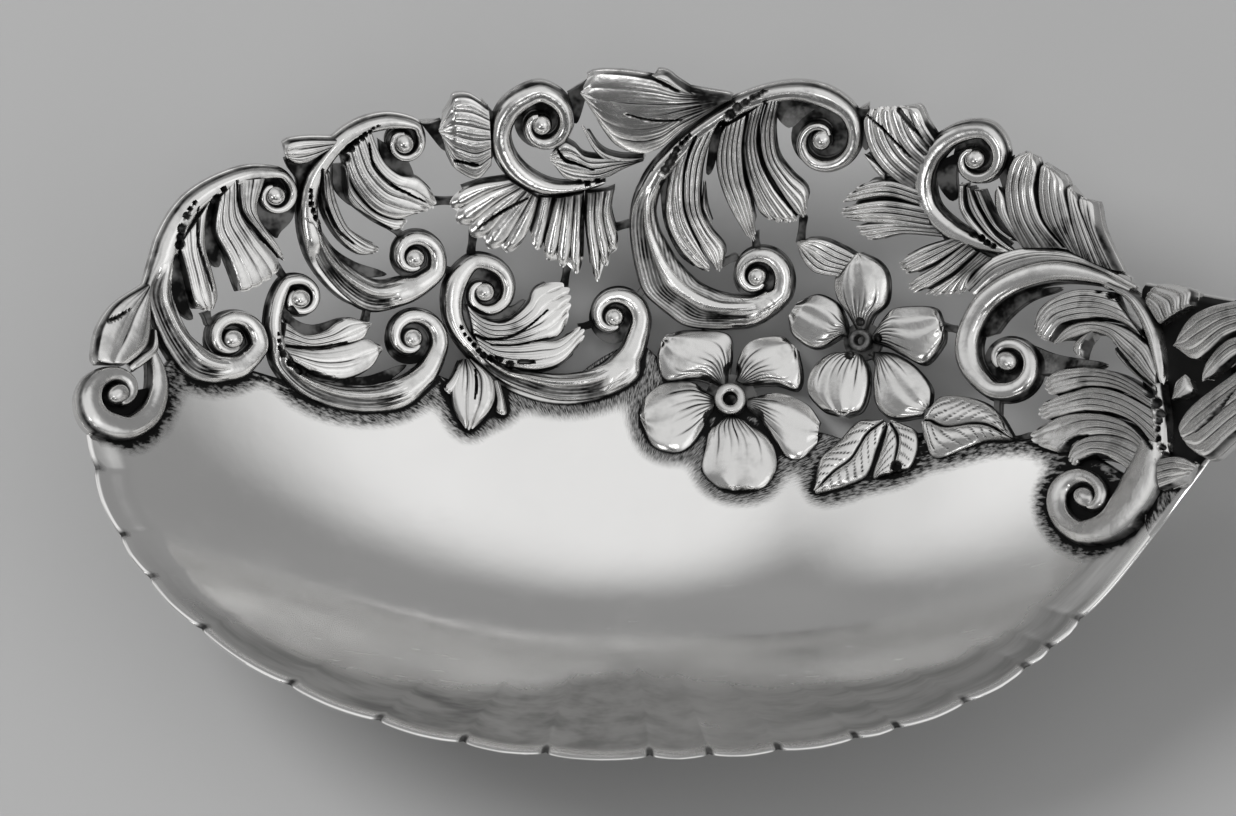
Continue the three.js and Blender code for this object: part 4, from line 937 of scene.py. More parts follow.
third = Chased("acanthus_scroll_3")
third.ribbon(
    [[-29.7, 5.9], [-27.2, 5.5], [-25, 5.9], [-23.1, 6.4], [-22.2, 7.5]],
    [[-29.4, 7.7], [-28.1, 6.8], [-26.2, 7.1], [-24.5, 8.2], [-22.3, 8]], 3, swell=0.1,
)
third.ribbon(
    [[-28.7, 4.3], [-26.6, 3.2], [-24.5, 3], [-22.4, 3.9], [-21.2, 5.4]],
    [[-29.6, 5.7], [-27, 5.5], [-24.5, 5.9], [-22.7, 6.4], [-21.4, 6]], 2, swell=0.1,
)
third.ribbon(
    [
        [-30.92, 6.48], [-30.3, 4.1], [-28.3, 1.9], [-25.4, 0.6], [-22.1, 0.2], [-19, 0.8],
        [-16.6, 3.14],
    ],
    [
        [-29.71, 6.74], [-28.9, 4.1], [-27, 3], [-24.5, 2.4], [-21.7, 2.5], [-19.4, 3.4],
        [-18.16, 4.22],
    ],
    4, crown=striped,
)
third.scroll([
    [-29.5, 11.1, 0.5], [-30.2, 9.4, 0.6], [-30.4, 7.1, 0.6], [-29.5, 4.6, 0.8], [-27.2, 2.4, 1],
    [-23.7, 1.4, 1.1], [-20.1, 1.8, 1.2], [-17.7, 3.3, 1], [-16.5, 5.4, 0.8],
], start=([-28.3, 9.9], 1.2), end=([-18.7, 6.5], -1.15), under=(2.6, 6.4))
third.grooves(
    [[-29.6, 5.8, 0.08], [-27, 5.6, 0.19], [-24.5, 6.1, 0.1]],
    [[-29.1, 9.1, 0.21], [-28.3, 7.9, 0.37], [-26.8, 7.5, 0.37], [-24.9, 8.2, 0.25]],
    [[-27.4, 3.4, 0.34], [-26.5, 3.1, 0.26], [-25.4, 2.9, 0.14]],
)
third.pits(
    [-30.3, 6.8, 0.1], [-30.3, 6.2, 0.14], [-30.2, 5.6, 0.16], [-29.9, 5.1, 0.25], [-29.3, 4.3, 0.29],
    [-28.5, 3.7, 0.35],
)
third.ground(
    [[-29.3, 9.7], [-28.7, 8.3], [-27, 7.7], [-24.5, 8.5]],
    [[-29.7, 8.7], [-28.5, 7], [-26.4, 6.8], [-24.4, 7.9]],
)
third.ground(
    [[-27, 3.4], [-25, 3.2], [-22.5, 3.4], [-20, 4.5]],
    [[-27.2, 2.5], [-24.5, 2.1], [-21.7, 2.2], [-18.3, 4.1]],
)
third.lay()

fourth = Chased("acanthus_scroll_4")
fourth.ribbon(
    [[-13.3, 6.7], [-11.8, 5.9], [-9.9, 5.9], [-7.9, 6.3], [-6.2, 6.8], [-5, 8.3]],
    [[-13.9, 9.2], [-12.9, 8.3], [-11.5, 8], [-10, 8.4], [-8.8, 9.5], [-8, 10.9], [-5.2, 11.9]], 5,
    swell=0.1,
)
fourth.ribbon(
    [[-12.8, 5.4], [-11.4, 4.4], [-9.6, 3.9], [-7.7, 3.8], [-5.8, 4.5], [-3.6, 6.6]],
    [[-13.2, 6.6], [-11.8, 5.9], [-9.9, 5.9], [-7.8, 6.2], [-6.1, 6.4], [-4.3, 7.9]], 3, swell=0.1,
)
fourth.ribbon(
    [
        [-14.45, 5.68], [-13, 4.2], [-11, 2.7], [-8.8, 1.8], [-6.4, 1.2], [-3.9, 1.2], [-1.5, 1.8],
        [0.6, 3.1], [0.91, 4.64],
    ],
    [
        [-13.35, 6.52], [-12, 4.9], [-10.4, 3.9], [-8.5, 3.7], [-6.6, 3.5], [-4.5, 3.6], [-2.8, 4.1],
        [-1.3, 5.3], [-0.94, 5.63],
    ],
    4, crown=striped,
)
fourth.scroll([
    [-13.6, 12.9, 0.7], [-15, 11, 0.9], [-15.1, 8.4, 0.8], [-13.9, 6.1, 0.7], [-11.8, 4.1, 0.8],
    [-9.1, 2.6, 1], [-5.8, 2.2, 1.3], [-2.6, 2.8, 1.3], [-0.3, 4.7, 1.1], [0.7, 7, 0.9],
], start=([-12.5, 10.5], 1.2), end=([-1.4, 8.3], -1.1), under=(3.4, 7.4))
fourth.grooves(
    [[-13.4, 6.8, 0.11], [-12.3, 6.4, 0.12], [-10.4, 6.6, 0.12], [-8.7, 7.6, 0.09], [-7.2, 8.9, 0.05]],
    [[-12, 5.9, 0.07], [-9.9, 5.9, 0.08], [-8, 6.3, 0.07], [-6.3, 6.6, 0.06]],
    [[-13.6, 9.1, 0.19], [-12.5, 8.4, 0.3], [-11.1, 8.1, 0.33], [-9.9, 8.7, 0.24], [-8.8, 9.9, 0.16]],
    [[-6.3, 6.4, 0.08], [-5, 7.8, 0.24]],
    [[-9.5, 4.4, 0.24], [-8.4, 4.4, 0.18]],
)
fourth.pits(
    [-14.6, 7.4, 0.14], [-14.3, 6.8, 0.12], [-13.9, 6.4, 0.15], [-13.5, 5.9, 0.19], [-13.1, 5.4, 0.2],
    [-12.7, 5, 0.23], [-12.1, 4.7, 0.24], [-11.6, 4.8, 0.12], [-11.3, 4.6, 0.23], [-10.4, 4.2, 0.26],
)
fourth.ground(
    [[-13.9, 9.4], [-12.9, 8.4], [-11.5, 8.1], [-10, 8.5], [-8.7, 9.6]],
    [[-12, 9.4], [-11.3, 9.1], [-10.1, 9.3], [-9.3, 10]],
)
fourth.webs([-5.7, 10.7, -5.3, 13], [0.2, 9.6, 1.6, 11.2], [-4.4, 7.4, -3.2, 7.8])
fourth.lay()

# Two five-petalled blossoms overlap below the large scroll. Petals are domed from behind and veined
# with a graver from the boss, which is a pierced ring with five punched pits about it.


def petal(s, q, wide):
    """A pillow between the petal's edges that swells from the boss, waved a little across and along, with
    nine fine lines fanning from the root and fading by the middle."""
    t = 2 * q - 1
    swell = 0.25 + 0.45 * np.sin(math.pi * np.clip(0.2 + 0.7 * s, 0, 1))
    top = SHEET + 0.15 + swell * (1 - np.abs(t) ** 3) * (1 - 0.5 * ease((s - 0.82) / 0.18))
    top = top + 0.06 * np.sin(3 * math.pi * t) * s + 0.09 * np.sin(2 * math.pi * (0.9 * s - 0.1))
    ink = 0.5 * ease((np.abs(t) - 0.94) / 0.06) + 0.8 * ease((0.14 - s) / 0.14)
    for k in range(9):
        shut = ease((0.42 + 0.2 * (k % 2) + 0.1 * (k == 4) - s) / 0.25)
        line = np.exp(-(((t + 0.8 - 0.2 * k) * wide / 2 / 0.065) ** 2)) * shut
        top = top - 0.06 * line
        ink = np.maximum(ink, 0.92 * line)
    return top, ink


def blossom(node, centre, boss, dull, petals, pits):
    """Petals between their edges from the boss out, then the boss on a dark bed: a ring, dulled by a share
    of ink, about a sunk middle; and the pits punched round it."""
    flower = Chased(node)
    for left, right in petals:
        flower.ribbon(left, right, 3, crown=petal, notch=0.01)
    seat = 1.7 * boss
    bed = [[0.02, 0.28], [seat - 0.06, 0.28], [seat, 0.3], [seat, 0.85], [0.02, 0.85]]
    flower.turned(centre, bed, [UNDERSIDE, UNDERSIDE, 1, 1, 1])
    arc = np.linspace(-0.3, math.pi, 12)
    ring = np.stack([0.72 * boss + 0.3 * boss * np.cos(arc), SHEET + 0.75 + 0.35 * np.sin(arc)], -1)
    rows = [[0.02, 0.4], [boss, 0.4], *ring, [0.38 * boss, SHEET], [0.02, SHEET - 0.1]]
    flower.turned(centre, rows, [1, 1, *[dull] * 11, 0.7, 1, 1])
    flower.pits(*pits, depth=0.6)
    flower.lay()


blossom("flower_lower", [8.6, 1.2], 1.35, 0.2, [
    (
        [[8.3, 2.6], [8.7, 5.2], [8.2, 6.9], [4.9, 7.2], [3, 6.8]],
        [[7.8, 2.4], [5.8, 3.1], [3.2, 2.9], [2.3, 4.6], [2.6, 6.1]],
    ),
    (
        [[9, 2.9], [9.3, 4.8], [10.4, 6.3], [12.8, 6.7], [13.8, 6.1]],
        [[9.9, 2.5], [12.3, 2.6], [14.2, 2.2], [14.7, 3.5], [14.3, 5.6]],
    ),
    (
        [[7.3, 1.5], [5.2, 2.8], [2.8, 2.6], [1.3, 1.5], [0.8, 0.1]],
        [[7.1, 0.3], [6.2, -1.3], [5.2, -2.6], [3.9, -3.2], [1.9, -2.6], [0.9, -0.5]],
    ),
    (
        [[8, -0.3], [6.9, -1.2], [6.5, -2.8], [6.2, -4.7], [7.3, -6], [8.6, -6.5]],
        [[9.5, -0.3], [10.8, -1.1], [12.1, -2.4], [12.5, -4.5], [11.4, -6.2], [9.5, -6.5]],
    ),
    (
        [[10.1, 1.4], [11.2, 1.7], [13, 1.8], [15.1, 0.9], [16.2, -0.6]],
        [[10, 0.4], [11.4, -0.9], [12.5, -2.4], [13.4, -3.6], [14.7, -3.7], [16, -2.4]],
    ),
], [[8.8, 3.7, 0.59], [6.5, 2.5, 0.61], [7, -0.4, 0.56], [10.7, -0.4, 0.63], [11, 2.1, 0.56]])
blossom("flower_upper", [19.8, 6.3], 0.95, 0.6, [
    (
        [[19.3, 7.3], [18.6, 8.6], [17.7, 10], [17.5, 11.3], [18, 12.6], [19.4, 13.8]],
        [[20.3, 7.3], [20.8, 8.4], [21.9, 9.6], [22, 11.7], [21.2, 13], [19.6, 13.8]],
    ),
    (
        [[18.7, 7.1], [18.4, 8.1], [17.7, 9.4], [16, 10.2], [14.3, 9.6]],
        [[18.5, 6.4], [18.1, 6.6], [16.4, 5.7], [15.1, 5.9], [13.8, 7], [13.5, 8.3]],
    ),
    (
        [[20.8, 7], [21.9, 8.5], [22.9, 9.1], [25.8, 9.1], [26.6, 7.9]],
        [[20.8, 6.1], [21.9, 5.8], [23.4, 5], [25.1, 4.4], [26.6, 6.1], [26.8, 7.4]],
    ),
    (
        [[18.9, 5.4], [17.1, 5.2], [15.6, 3.9], [15.2, 2], [16.4, 0.5], [17.7, 0]],
        [[19.8, 5.1], [20.3, 3.9], [20.3, 2.2], [19.7, 0.5], [18.4, -0.1]],
    ),
    (
        [[20.8, 5.4], [22.5, 5.2], [24.2, 4.1], [25.5, 2.4], [25.5, 0.9]],
        [[20.3, 5.1], [20.9, 4.3], [20.8, 2.6], [21.1, 0.7], [22.5, -0.3], [24.9, 0]],
    ),
], [[19.8, 7.9, 0.3], [21.3, 6.5, 0.3], [20.7, 5, 0.3], [18.9, 5, 0.3], [18.4, 6.4, 0.3]])

# Leaves about the blossoms: two flat castings of silver with a sunk midrib and side veins of short graver
# cuts lie under the upper blossom, and a small pleated one beside it. They are soldered edge to edge.


def veined(s, q, wide):
    """A leaf blade: two low swells either side of a sunk midrib, with side veins that run out and
    forward from it, each a row of short cuts."""
    t, half = 2 * q - 1, wide / 2
    swells = np.sin(math.pi * np.clip(np.abs(t), 0, 1) ** 0.8).clip(0) ** 0.8
    top = SHEET + 0.14 + 0.42 * swells + 0.1 * (1 - t * t)
    rib = np.exp(-((t * half / 0.09) ** 2)) * ease((0.95 - s) / 0.1)
    vein = 0.5 + 0.5 * np.cos(2 * math.pi * (9 * s - 1.1 * np.abs(t) * half))
    cut = ease((vein - 0.72) / 0.25) * ease((np.abs(t) - 0.08) / 0.1) * ease((0.92 - np.abs(t)) / 0.15)
    cut = cut * (0.55 + 0.45 * np.cos(30 * np.abs(t) * half))
    ink = 0.5 * ease((np.abs(t) - 0.9) / 0.1) + 0 * s
    return top - 0.12 * rib - 0.09 * cut, np.maximum(ink, np.maximum(0.9 * rib, 0.85 * cut))


leaf = Chased("leaf_lower_left")
leaf.ribbon(
    [[21.6, -0.4], [19.5, -0.6], [17.7, -2.4], [16.2, -3.9], [15.7, -6.6]],
    [[22, -0.9], [21.1, -2.8], [20.2, -5.1], [18.6, -6], [15.9, -6.8]], 4, crown=veined, notch=0.01,
)
leaf.ribbon(
    [[22, -1], [21.4, -3], [20.7, -5.3], [21.6, -5.2]],
    [[22.6, -0.5], [24.2, -1.3], [24.5, -2.8], [23.8, -4.5], [22.6, -4.8]], 4, crown=veined, notch=0.01,
)
leaf.pits([22.8, -4.5, 0.39])
leaf.lay()
leaf = Chased("leaf_lower_right")
leaf.ribbon(
    [[25.5, 0], [26.4, 1.5], [28.8, 1.5], [31, 0.5], [32.6, -2]],
    [[24.9, -1.1], [25.2, -2.4], [26, -3.7], [28.6, -2.8], [30.3, -2.2], [32.5, -2.2]], 4,
    crown=veined, notch=0.01,
)
leaf.lay()
leaf = Chased("small_leaf")
leaf.ribbon(
    [[19.1, 13.8], [18.2, 14.3], [16.4, 15], [14.4, 14.9]],
    [[17.6, 11.8], [15.8, 12.2], [14.8, 13.3], [14.2, 14.7]], 6, 0.4,
)
leaf.webs([14.5, 14.6, 14.8, 17])
leaf.lay()

# Rim pieces of the tip half: a curled scroll and leaf at the end of the seam, a bud, a small C scroll,
# a ribbed shell leaf and the broad leaf at the top of the rim, all cast and soldered edge to edge.
end = Chased("end_scroll")
end.scroll([
    [-40.7, 5.4, 0.3], [-40.2, 3.6, 0.6], [-40.2, 1.7, 0.8], [-41, -0.1, 1], [-42.7, -1.1, 1],
    [-44.7, -0.6, 1],
], end=([-43.6, 1.7], 1.05))
end.lay()
leaf = Chased("end_leaf")
leaf.ribbon(
    [[-41.4, 10.9], [-43.7, 9.3], [-45, 7.2], [-45.3, 4.8], [-44.5, 4.1]],
    [[-41.2, 10.5], [-41.1, 7.8], [-41.4, 5.8], [-42.7, 4.4], [-43.3, 4.2]], 2, 0.6, lean=0.15,
)
leaf.ribbon(
    [[-40.8, 7], [-40.9, 5.8], [-41.8, 5], [-42.8, 4.1]],
    [[-40.5, 6.8], [-40.4, 5.4], [-41.4, 4.3], [-42.4, 3.5]], 1, 0.5,
)
leaf.grooves([[-44.5, 7.9, 0.16], [-43.7, 8.3, 0.14], [-42.9, 8.9, 0.06]])
leaf.lay()
leaf = Chased("rim_bud")
leaf.ribbon(
    [[-25.4, 23.5], [-27.4, 23.5], [-28.9, 23.3], [-29.7, 22.8]],
    [[-26.2, 22.5], [-27.4, 21.7], [-28.4, 21.4], [-29.4, 21.7]], 3, 0.55, 0,
)
leaf.lay()
curl = Chased("rim_c_scroll")
curl.ribbon(
    [[0.9, 22], [-1.7, 22], [-3.8, 22.2], [-4.8, 23], [-5.8, 23.3], [-7.1, 22.3]],
    [[0.9, 21.7], [-0.6, 21.1], [-2.4, 20.2], [-4.1, 20], [-5.6, 20.3], [-6.8, 21.5]], 4, 0.6,
)
curl.scroll([
    [-8.1, 27.4, 0.8], [-10.2, 26.1, 0.9], [-11.1, 23.9, 0.9], [-10.4, 21.6, 0.9], [-8.5, 19.9, 0.8],
    [-5.8, 19.3, 0.5], [-2.1, 19.9, 0.3],
], start=([-7.6, 24.8], 1.15))
curl.grooves([[-6.3, 22.8, 0.07], [-5.6, 21.9, 0.17], [-4.6, 21.6, 0.11], [-3.2, 21.1, 0.06]])
curl.pits([-4.4, 20, 0.18], [-3.7, 19.9, 0.21], [-2.8, 20.1, 0.21], [-2, 20.2, 0.17])
curl.ground([[-5.3, 27.3], [-5, 26.1], [-5, 24.7]], [[-3.7, 28.3], [-3.9, 26.6], [-4.3, 24.7]])
curl.lay()
leaf = Chased("shell_leaf")
leaf.ribbon(
    [[-12.3, 26.2], [-13.7, 27.1], [-15, 27.1], [-15.4, 26.4], [-16.6, 24.5]],
    [[-12.1, 21.2], [-13.2, 20.2], [-14.7, 20.8], [-15.4, 21.6], [-16.3, 24]], 6, 0.45,
    swell=0.15, dome=0.35,
)
leaf.grooves([[-15.1, 21.8, 0.14], [-13.2, 21.5, 0.11]])
leaf.ground([[-17.9, 24.9], [-17.2, 23.9], [-16.2, 22.4]], [[-16.2, 25], [-15.8, 23.6], [-15.4, 22.4]])
leaf.ground([[-12.6, 26.7], [-12.5, 24.2], [-12.6, 21.5]], [[-11.5, 25.4], [-11.6, 23.7], [-11.4, 21.6]])
leaf.lay()
leaf = Chased("rim_leaf_large")
leaf.ribbon(
    [[8.4, 27.2], [5.9, 27.6], [3.8, 28], [1.9, 28.7], [-0.9, 29.1], [-3.2, 29], [-4.4, 27.9]],
    [[8.5, 27], [6.5, 25.7], [4.4, 24.4], [2.6, 22.9], [0.6, 22.4], [-1.7, 23.5], [-4.2, 27.3]], 6, 0.4,
    root=0.75, swell=0.05, dome=0.5,
)
leaf.ribbon(
    [[5.3, 27.6], [4.1, 28.4], [3.1, 29.1], [1.9, 29.2]],
    [[5.1, 27.6], [4.1, 27.8], [2.9, 28.4], [1.8, 28.9]], 1, 0.6,
)
leaf.ribbon(
    [[0.9, 22.1], [-0.9, 22.1], [-2.6, 22.8], [-4.1, 25]],
    [[1, 21.9], [-0.9, 21.3], [-2.9, 22.4], [-4.3, 24.7]], 2, 0.5,
)
leaf.grooves(
    [[4.1, 27.8, 0.15], [2.9, 28.4, 0.18], [1.8, 28.9, 0.15]],
    [[-0.3, 25.9, 0.07], [1.9, 25.4, 0.1], [4.4, 25.4, 0.06]],
)
leaf.lay()

# Leaf fans, sprays and the trefoil: thin cast leaves of silver, pleated lengthwise, that fill the spaces
# between the scrolls. They are soldered where their roots meet a band and held by short webs.
fan = Chased("leaf_fan_left")
fan.ribbon(
    [[-10.8, 20.2], [-13.4, 19.7], [-17.1, 18.2]], [[-8, 18.4], [-8.6, 16.2], [-10.2, 12.4]], 5, 0.8, 0.08,
    root=0.7, swell=0.26, tip=0.16,
)
fan.grooves([[-8.9, 18.7, 0.08], [-11.1, 17.5, 0.14], [-13.2, 16, 0.08]])
fan.webs([-13.3, 15.6, -13.6, 13.4])
fan.lay()
fan = Chased("leaf_fan_right")
fan.ribbon(
    [[-6.5, 18.4], [-7, 16.4], [-7.7, 13.5]], [[-4, 18.8], [-4, 16], [-4.1, 11.8]], 3, 0.8, 0.13,
    root=0.7, swell=0.3, tip=0,
)
fan.ribbon(
    [[-3.8, 18.8], [-3.8, 16], [-3.1, 10.8]], [[-1.4, 19.2], [-1.6, 17.4], [-0.8, 14.8]], 3, 0.8, 0.13,
    root=0.7, swell=0.3, tip=0,
)
fan.ribbon(
    [[-7.8, 18.4], [-8.2, 16.8], [-8.7, 15.1]], [[-6.6, 18.4], [-7, 16.4], [-7.8, 13.6]], 1, 0.25, root=0.6,
)
fan.grooves([[-4, 18.8, 0.14], [-4.2, 16, 0.17], [-4.2, 11.9, 0.11]])
fan.webs([-1.6, 15.8, 0.3, 16.3])
fan.lay()
fan = Chased("trefoil_leaf")
fan.ribbon(
    [[-14.6, 4.5], [-15.2, 3.3], [-15.3, 1.1], [-14.3, -1.4]],
    [[-13.5, 4.5], [-11.8, 2.9], [-11.8, 0.8], [-13.5, -1.5]], 3, 0.7, 0.04, root=0.6,
)
fan.ribbon(
    [[-14.8, 4.4], [-15.4, 3.1], [-16.2, 2.2]], [[-14.6, 3.1], [-14.8, 2.3], [-15.4, 1.5]], 1, 0.6,
    root=0.6,
)
fan.ribbon(
    [[-11.8, 2.6], [-11.5, 1.2], [-11.6, 0]], [[-11.2, 2.6], [-10.8, 1.2], [-10.5, -0.2]], 1, 0.6, root=0.6,
)
fan.grooves([[-13.4, 3.7, 0.08], [-13.3, 2.3, 0.11], [-13.4, 1.2, 0.05]])
fan.lay()
fan = Chased("spray_up")
fan.ribbon(
    [[24, 19.2], [21.8, 21], [20.4, 23.1], [20, 25.1], [20.5, 26.4]],
    [[26.1, 23.7], [25.4, 24.8], [24.8, 26], [24.1, 26.5]], 6, 0.7, 0.08, root=0.6,
)
fan.ribbon(
    [[21.7, 20.2], [20.9, 21], [20, 22.3]], [[21.8, 20.9], [21, 21.7], [20.1, 22.4]], 1, 0.5, root=0.6,
)
fan.grooves(
    [[20.3, 25.7, 0.07], [21.8, 24.5, 0.11], [24.1, 22.2, 0.08]],
    [[23.1, 26.1, 0.23], [24.1, 24.9, 0.2], [25.1, 23.8, 0.08]],
)
fan.ground([[19.3, 25.8], [19.4, 24], [19.8, 22.2]], [[20.3, 26.4], [20.2, 24.3], [20.5, 22.7]])
fan.lay()
fan = Chased("spray_left")
fan.ribbon(
    [[24.6, 19.4], [22.3, 20.1], [19.6, 19.8]], [[25.1, 17.9], [21.8, 18.7], [17.7, 17.9]], 3, 0.7, 0.06,
    root=0.6,
)
fan.ribbon(
    [[25.1, 17.9], [21.8, 18.4], [17.7, 17.7]], [[25.7, 15.8], [22.3, 16.3], [18.7, 16.5]], 4, 0.7, 0.06,
    root=0.6,
)
fan.ribbon(
    [[25.7, 16.3], [22.6, 16.5], [18.9, 16.3]], [[26.7, 15.2], [23.5, 15.4], [20.5, 14.7]], 3, 0.6, 0.06,
    root=0.6,
)
fan.lay()
fan = Chased("spray_low")
fan.ribbon(
    [[27.4, 15], [25.1, 14.3], [22.8, 13.1]], [[28.7, 14.5], [26.1, 12.9], [23.7, 11.8]], 3, 0.65, 0.05,
    root=0.6,
)
fan.ribbon(
    [[28.7, 14.5], [26.2, 12.7], [23.7, 11.3]], [[29.6, 13.7], [27.4, 11.9], [24.2, 10.1]], 3, 0.65, 0.05,
    root=0.6,
)
fan.ribbon(
    [[29.8, 13.7], [27.7, 11.8], [24.6, 10.1]], [[30.8, 13.2], [29.3, 11.9], [28.7, 10.1]], 4, 0.5, 0.08,
    root=0.6,
)
fan.ground([[26.6, 15.1], [28.3, 14.5], [30.8, 13.9]], [[28.8, 10.8], [30.2, 12.2], [31.6, 13.2]])
fan.lay()
fan = Chased("spray_right")
fan.ribbon(
    [[33.5, 14.5], [32.5, 17], [32.2, 19.6], [32.8, 21.8], [34.2, 22.5]],
    [[37, 14.4], [35.3, 16.6], [34.6, 19.1], [34.8, 21], [34.4, 22.4]], 4, 0.7, 0.02, root=0.6,
)
fan.ribbon(
    [[37.2, 14.4], [35.5, 16.6], [35, 18.8], [35.1, 21], [35.5, 21.4]],
    [[38.7, 13.6], [37.9, 16.2], [37.2, 18.8], [37, 19.9], [36.2, 21]], 4, 0.7, 0.05, root=0.6,
)
fan.ribbon(
    [[38.7, 13.6], [37.9, 16.3], [37.4, 18.9], [37.5, 19.6]],
    [[40.4, 12.8], [39.2, 15.8], [38.4, 17.8], [38.1, 18.8]], 3, 0.65, 0.05, root=0.6,
)
fan.ribbon(
    [[40.4, 12.8], [39.3, 15.7], [38.5, 17.6], [38.3, 18.7]],
    [[41.4, 12.5], [40, 15.6], [39.6, 17.6], [39.3, 18.4]], 3, 0.65, 0.05, root=0.6,
)
fan.ribbon(
    [[33.5, 14.4], [31.6, 16.9], [31.2, 18.7], [31.4, 19.6]],
    [[33.6, 14.8], [32.5, 17.1], [32.2, 18.4], [31.6, 19.6]], 1, 0.55, root=0.6,
)
fan.ground([[31.1, 20.5], [31.4, 19.9], [32.1, 17.1]], [[32.4, 21.9], [32.4, 19.7], [32.7, 17.1]])
fan.lay()

# Heel half of the border: two C scrolls and the big acanthus whose fingers curl over the heel, in two
# castings of silver, the lower with its own spine that ends in a volute soldered on the plain sheet.
top_curl = Chased("c_scroll_right_top")
top_curl.ribbon(
    [[28.2, 19.4], [28.3, 17.5], [29.5, 15.7], [31.6, 14]],
    [[28.7, 19.4], [28.9, 17.6], [30.5, 15.5], [32.4, 13.9]], 1, 0.6,
)
top_curl.ribbon(
    [[28.9, 19.3], [29.2, 17.6], [30.6, 15.5], [32.5, 13.9]],
    [[29.3, 19.2], [30, 17.5], [31.3, 15.5], [33, 14]], 2, 0.6,
)
top_curl.ribbon(
    [[29.6, 19], [30.3, 17.5], [31.4, 15.8], [33.1, 14.5]],
    [[30.2, 18.9], [30.9, 17.3], [31.9, 15.8], [33.7, 14.5]], 2, 0.6,
)
top_curl.scroll([
    [30, 24.2, 0.7], [27.8, 23.8, 0.8], [25.9, 22.2, 0.9], [25.1, 19.9, 0.9], [25.6, 17.6, 0.8],
    [27.2, 15.9, 0.8], [29.5, 14.7, 0.6], [32.4, 13.9, 0.3],
], start=([29.5, 21.8], 1.1))
top_curl.pits(
    [29.5, 15.5, 0.28], [30.2, 15.1, 0.26], [30.7, 14.7, 0.23], [31.2, 14.4, 0.2], [33.2, 14.6, 0.49],
)
top_curl.ground([[26.2, 21.4], [26.1, 19.7], [26.7, 17.9]], [[28.3, 22.5], [27.8, 20.7], [28.3, 18.4]])
top_curl.ground([[24, 19.6], [24.6, 21], [25.6, 23]], [[24.9, 19.1], [25.1, 20.7], [26.3, 23.4]])
top_curl.lay()
heel_curl = Chased("c_scroll_large_right")
heel_curl.scroll([
    [42.6, 10.5, 0.3], [39.7, 11.7, 0.7], [36.2, 12.2, 1], [32.8, 11.3, 1], [30.2, 9.4, 1],
    [28.9, 6.7, 1], [29, 4.3, 1], [30.5, 2.4, 0.8],
], end=([32.2, 4.5], -1.15))
heel_curl.ribbon(
    [[28.8, 11.2], [30.9, 13.3], [34, 14.2], [37.7, 13.8], [40.6, 12.5], [43.2, 11]],
    [[29.8, 10.2], [31.9, 11.8], [35.1, 12.8], [37.7, 12.9], [40.3, 12], [42.9, 10.5]], 2, 0.35, 0,
    swell=0.1,
)
heel_curl.ground(
    [[34.2, 5.9], [36, 5.2], [38, 4.9], [40, 4.8]], [[34.2, 3.5], [36, 3.6], [38, 3.7], [40, 3.9]], 0.6,
)
heel_curl.ground(
    [[29.8, 6.6], [30.9, 8.8], [33.1, 10.4], [36.4, 11.2]],
    [[31.1, 7], [32.2, 8.4], [34, 9.7], [36.4, 10.4]], 0.8,
)
heel_curl.webs([31.2, 1.9, 31, -0.1], [26.4, 7.6, 28.3, 7.2])
heel_curl.lay()
upper = Chased("acanthus_right_upper")
upper.ribbon(
    [[43.8, 6.2], [41.9, 7.6], [39.5, 8.1], [37.1, 7.7], [36, 6.6], [35.5, 5.9]],
    [[40.8, 10.4], [38.5, 10.6], [36.5, 10], [35.1, 9], [34.3, 7.5]], 5, 0.6, 0.02, swell=0.1,
)
upper.ribbon(
    [[44.5, 2], [43, 3.3], [41.6, 4.9], [41.1, 6.3], [39.7, 6.9], [38.3, 6.6], [36.7, 6]],
    [[44.7, 4], [44, 5.9], [41.9, 7.4], [39.5, 7.9], [37.4, 7.5], [35.8, 5.9]], 3, 0.5, swell=0.1,
)
upper.ribbon(
    [[39.5, 7], [38.5, 6.5], [37.6, 5.8]], [[38.8, 6.1], [38.5, 5.4], [38.3, 4.6]], 1, 0.5, swell=0.1,
)
upper.ribbon(
    [[40.8, 10.6], [42.6, 9.6], [44, 6.8], [44.7, 4], [45, 2.3]],
    [[41.2, 11.1], [43.4, 9.8], [44.8, 7.3], [45.3, 4.4], [45.4, 2.3]], 1, 0.75, swell=0.1,
)
upper.grooves(
    [[43.9, 6.1, 0.16], [42.3, 7.5, 0.16], [40.2, 8.1, 0.12], [37.6, 7.8, 0.05]],
    [[41.4, 5.8, 0.17], [43, 3.7, 0.14], [44.4, 2.4, 0.14]],
)
upper.pits(
    [40.1, 10.5, 0.23], [41.2, 10.2, 0.35], [42, 9.7, 0.24], [42.4, 9.4, 0.23], [42.7, 9.1, 0.24],
    [43.1, 8.3, 0.23], [43.4, 7.8, 0.19],
)
upper.lay()
lower = Chased("acanthus_right_lower")
lower.ribbon(
    [[44.6, 0.3], [41.9, 1.9], [39.5, 2.3], [37.4, 1.9], [35.5, 1.4]],
    [[44.2, 1.7], [42.8, 2.8], [41.1, 3.6], [39, 3.9], [36.7, 3.7], [35.4, 3.3]], 4, 0.6, 0.02, swell=0.1,
)
lower.ribbon(
    [[44.6, -2.9], [43, -1], [41.1, -0.1], [39, 0.2], [36.7, -0.2], [34.8, -0.8]],
    [[44.6, 0.2], [41.9, 1.7], [39.5, 2.2], [37.6, 1.8], [35, 1.1]], 4, 0.6, 0.02, swell=0.1,
)
lower.ribbon(
    [[44.6, -4.5], [43, -2.6], [41.1, -1.9], [39, -2], [37.1, -3.1], [35.1, -3.1]],
    [[44.6, -3.1], [43, -1.2], [41.1, -0.3], [39, 0], [36.7, -0.3], [33.6, -1.6]], 3, 0.6, 0.02, swell=0.1,
)
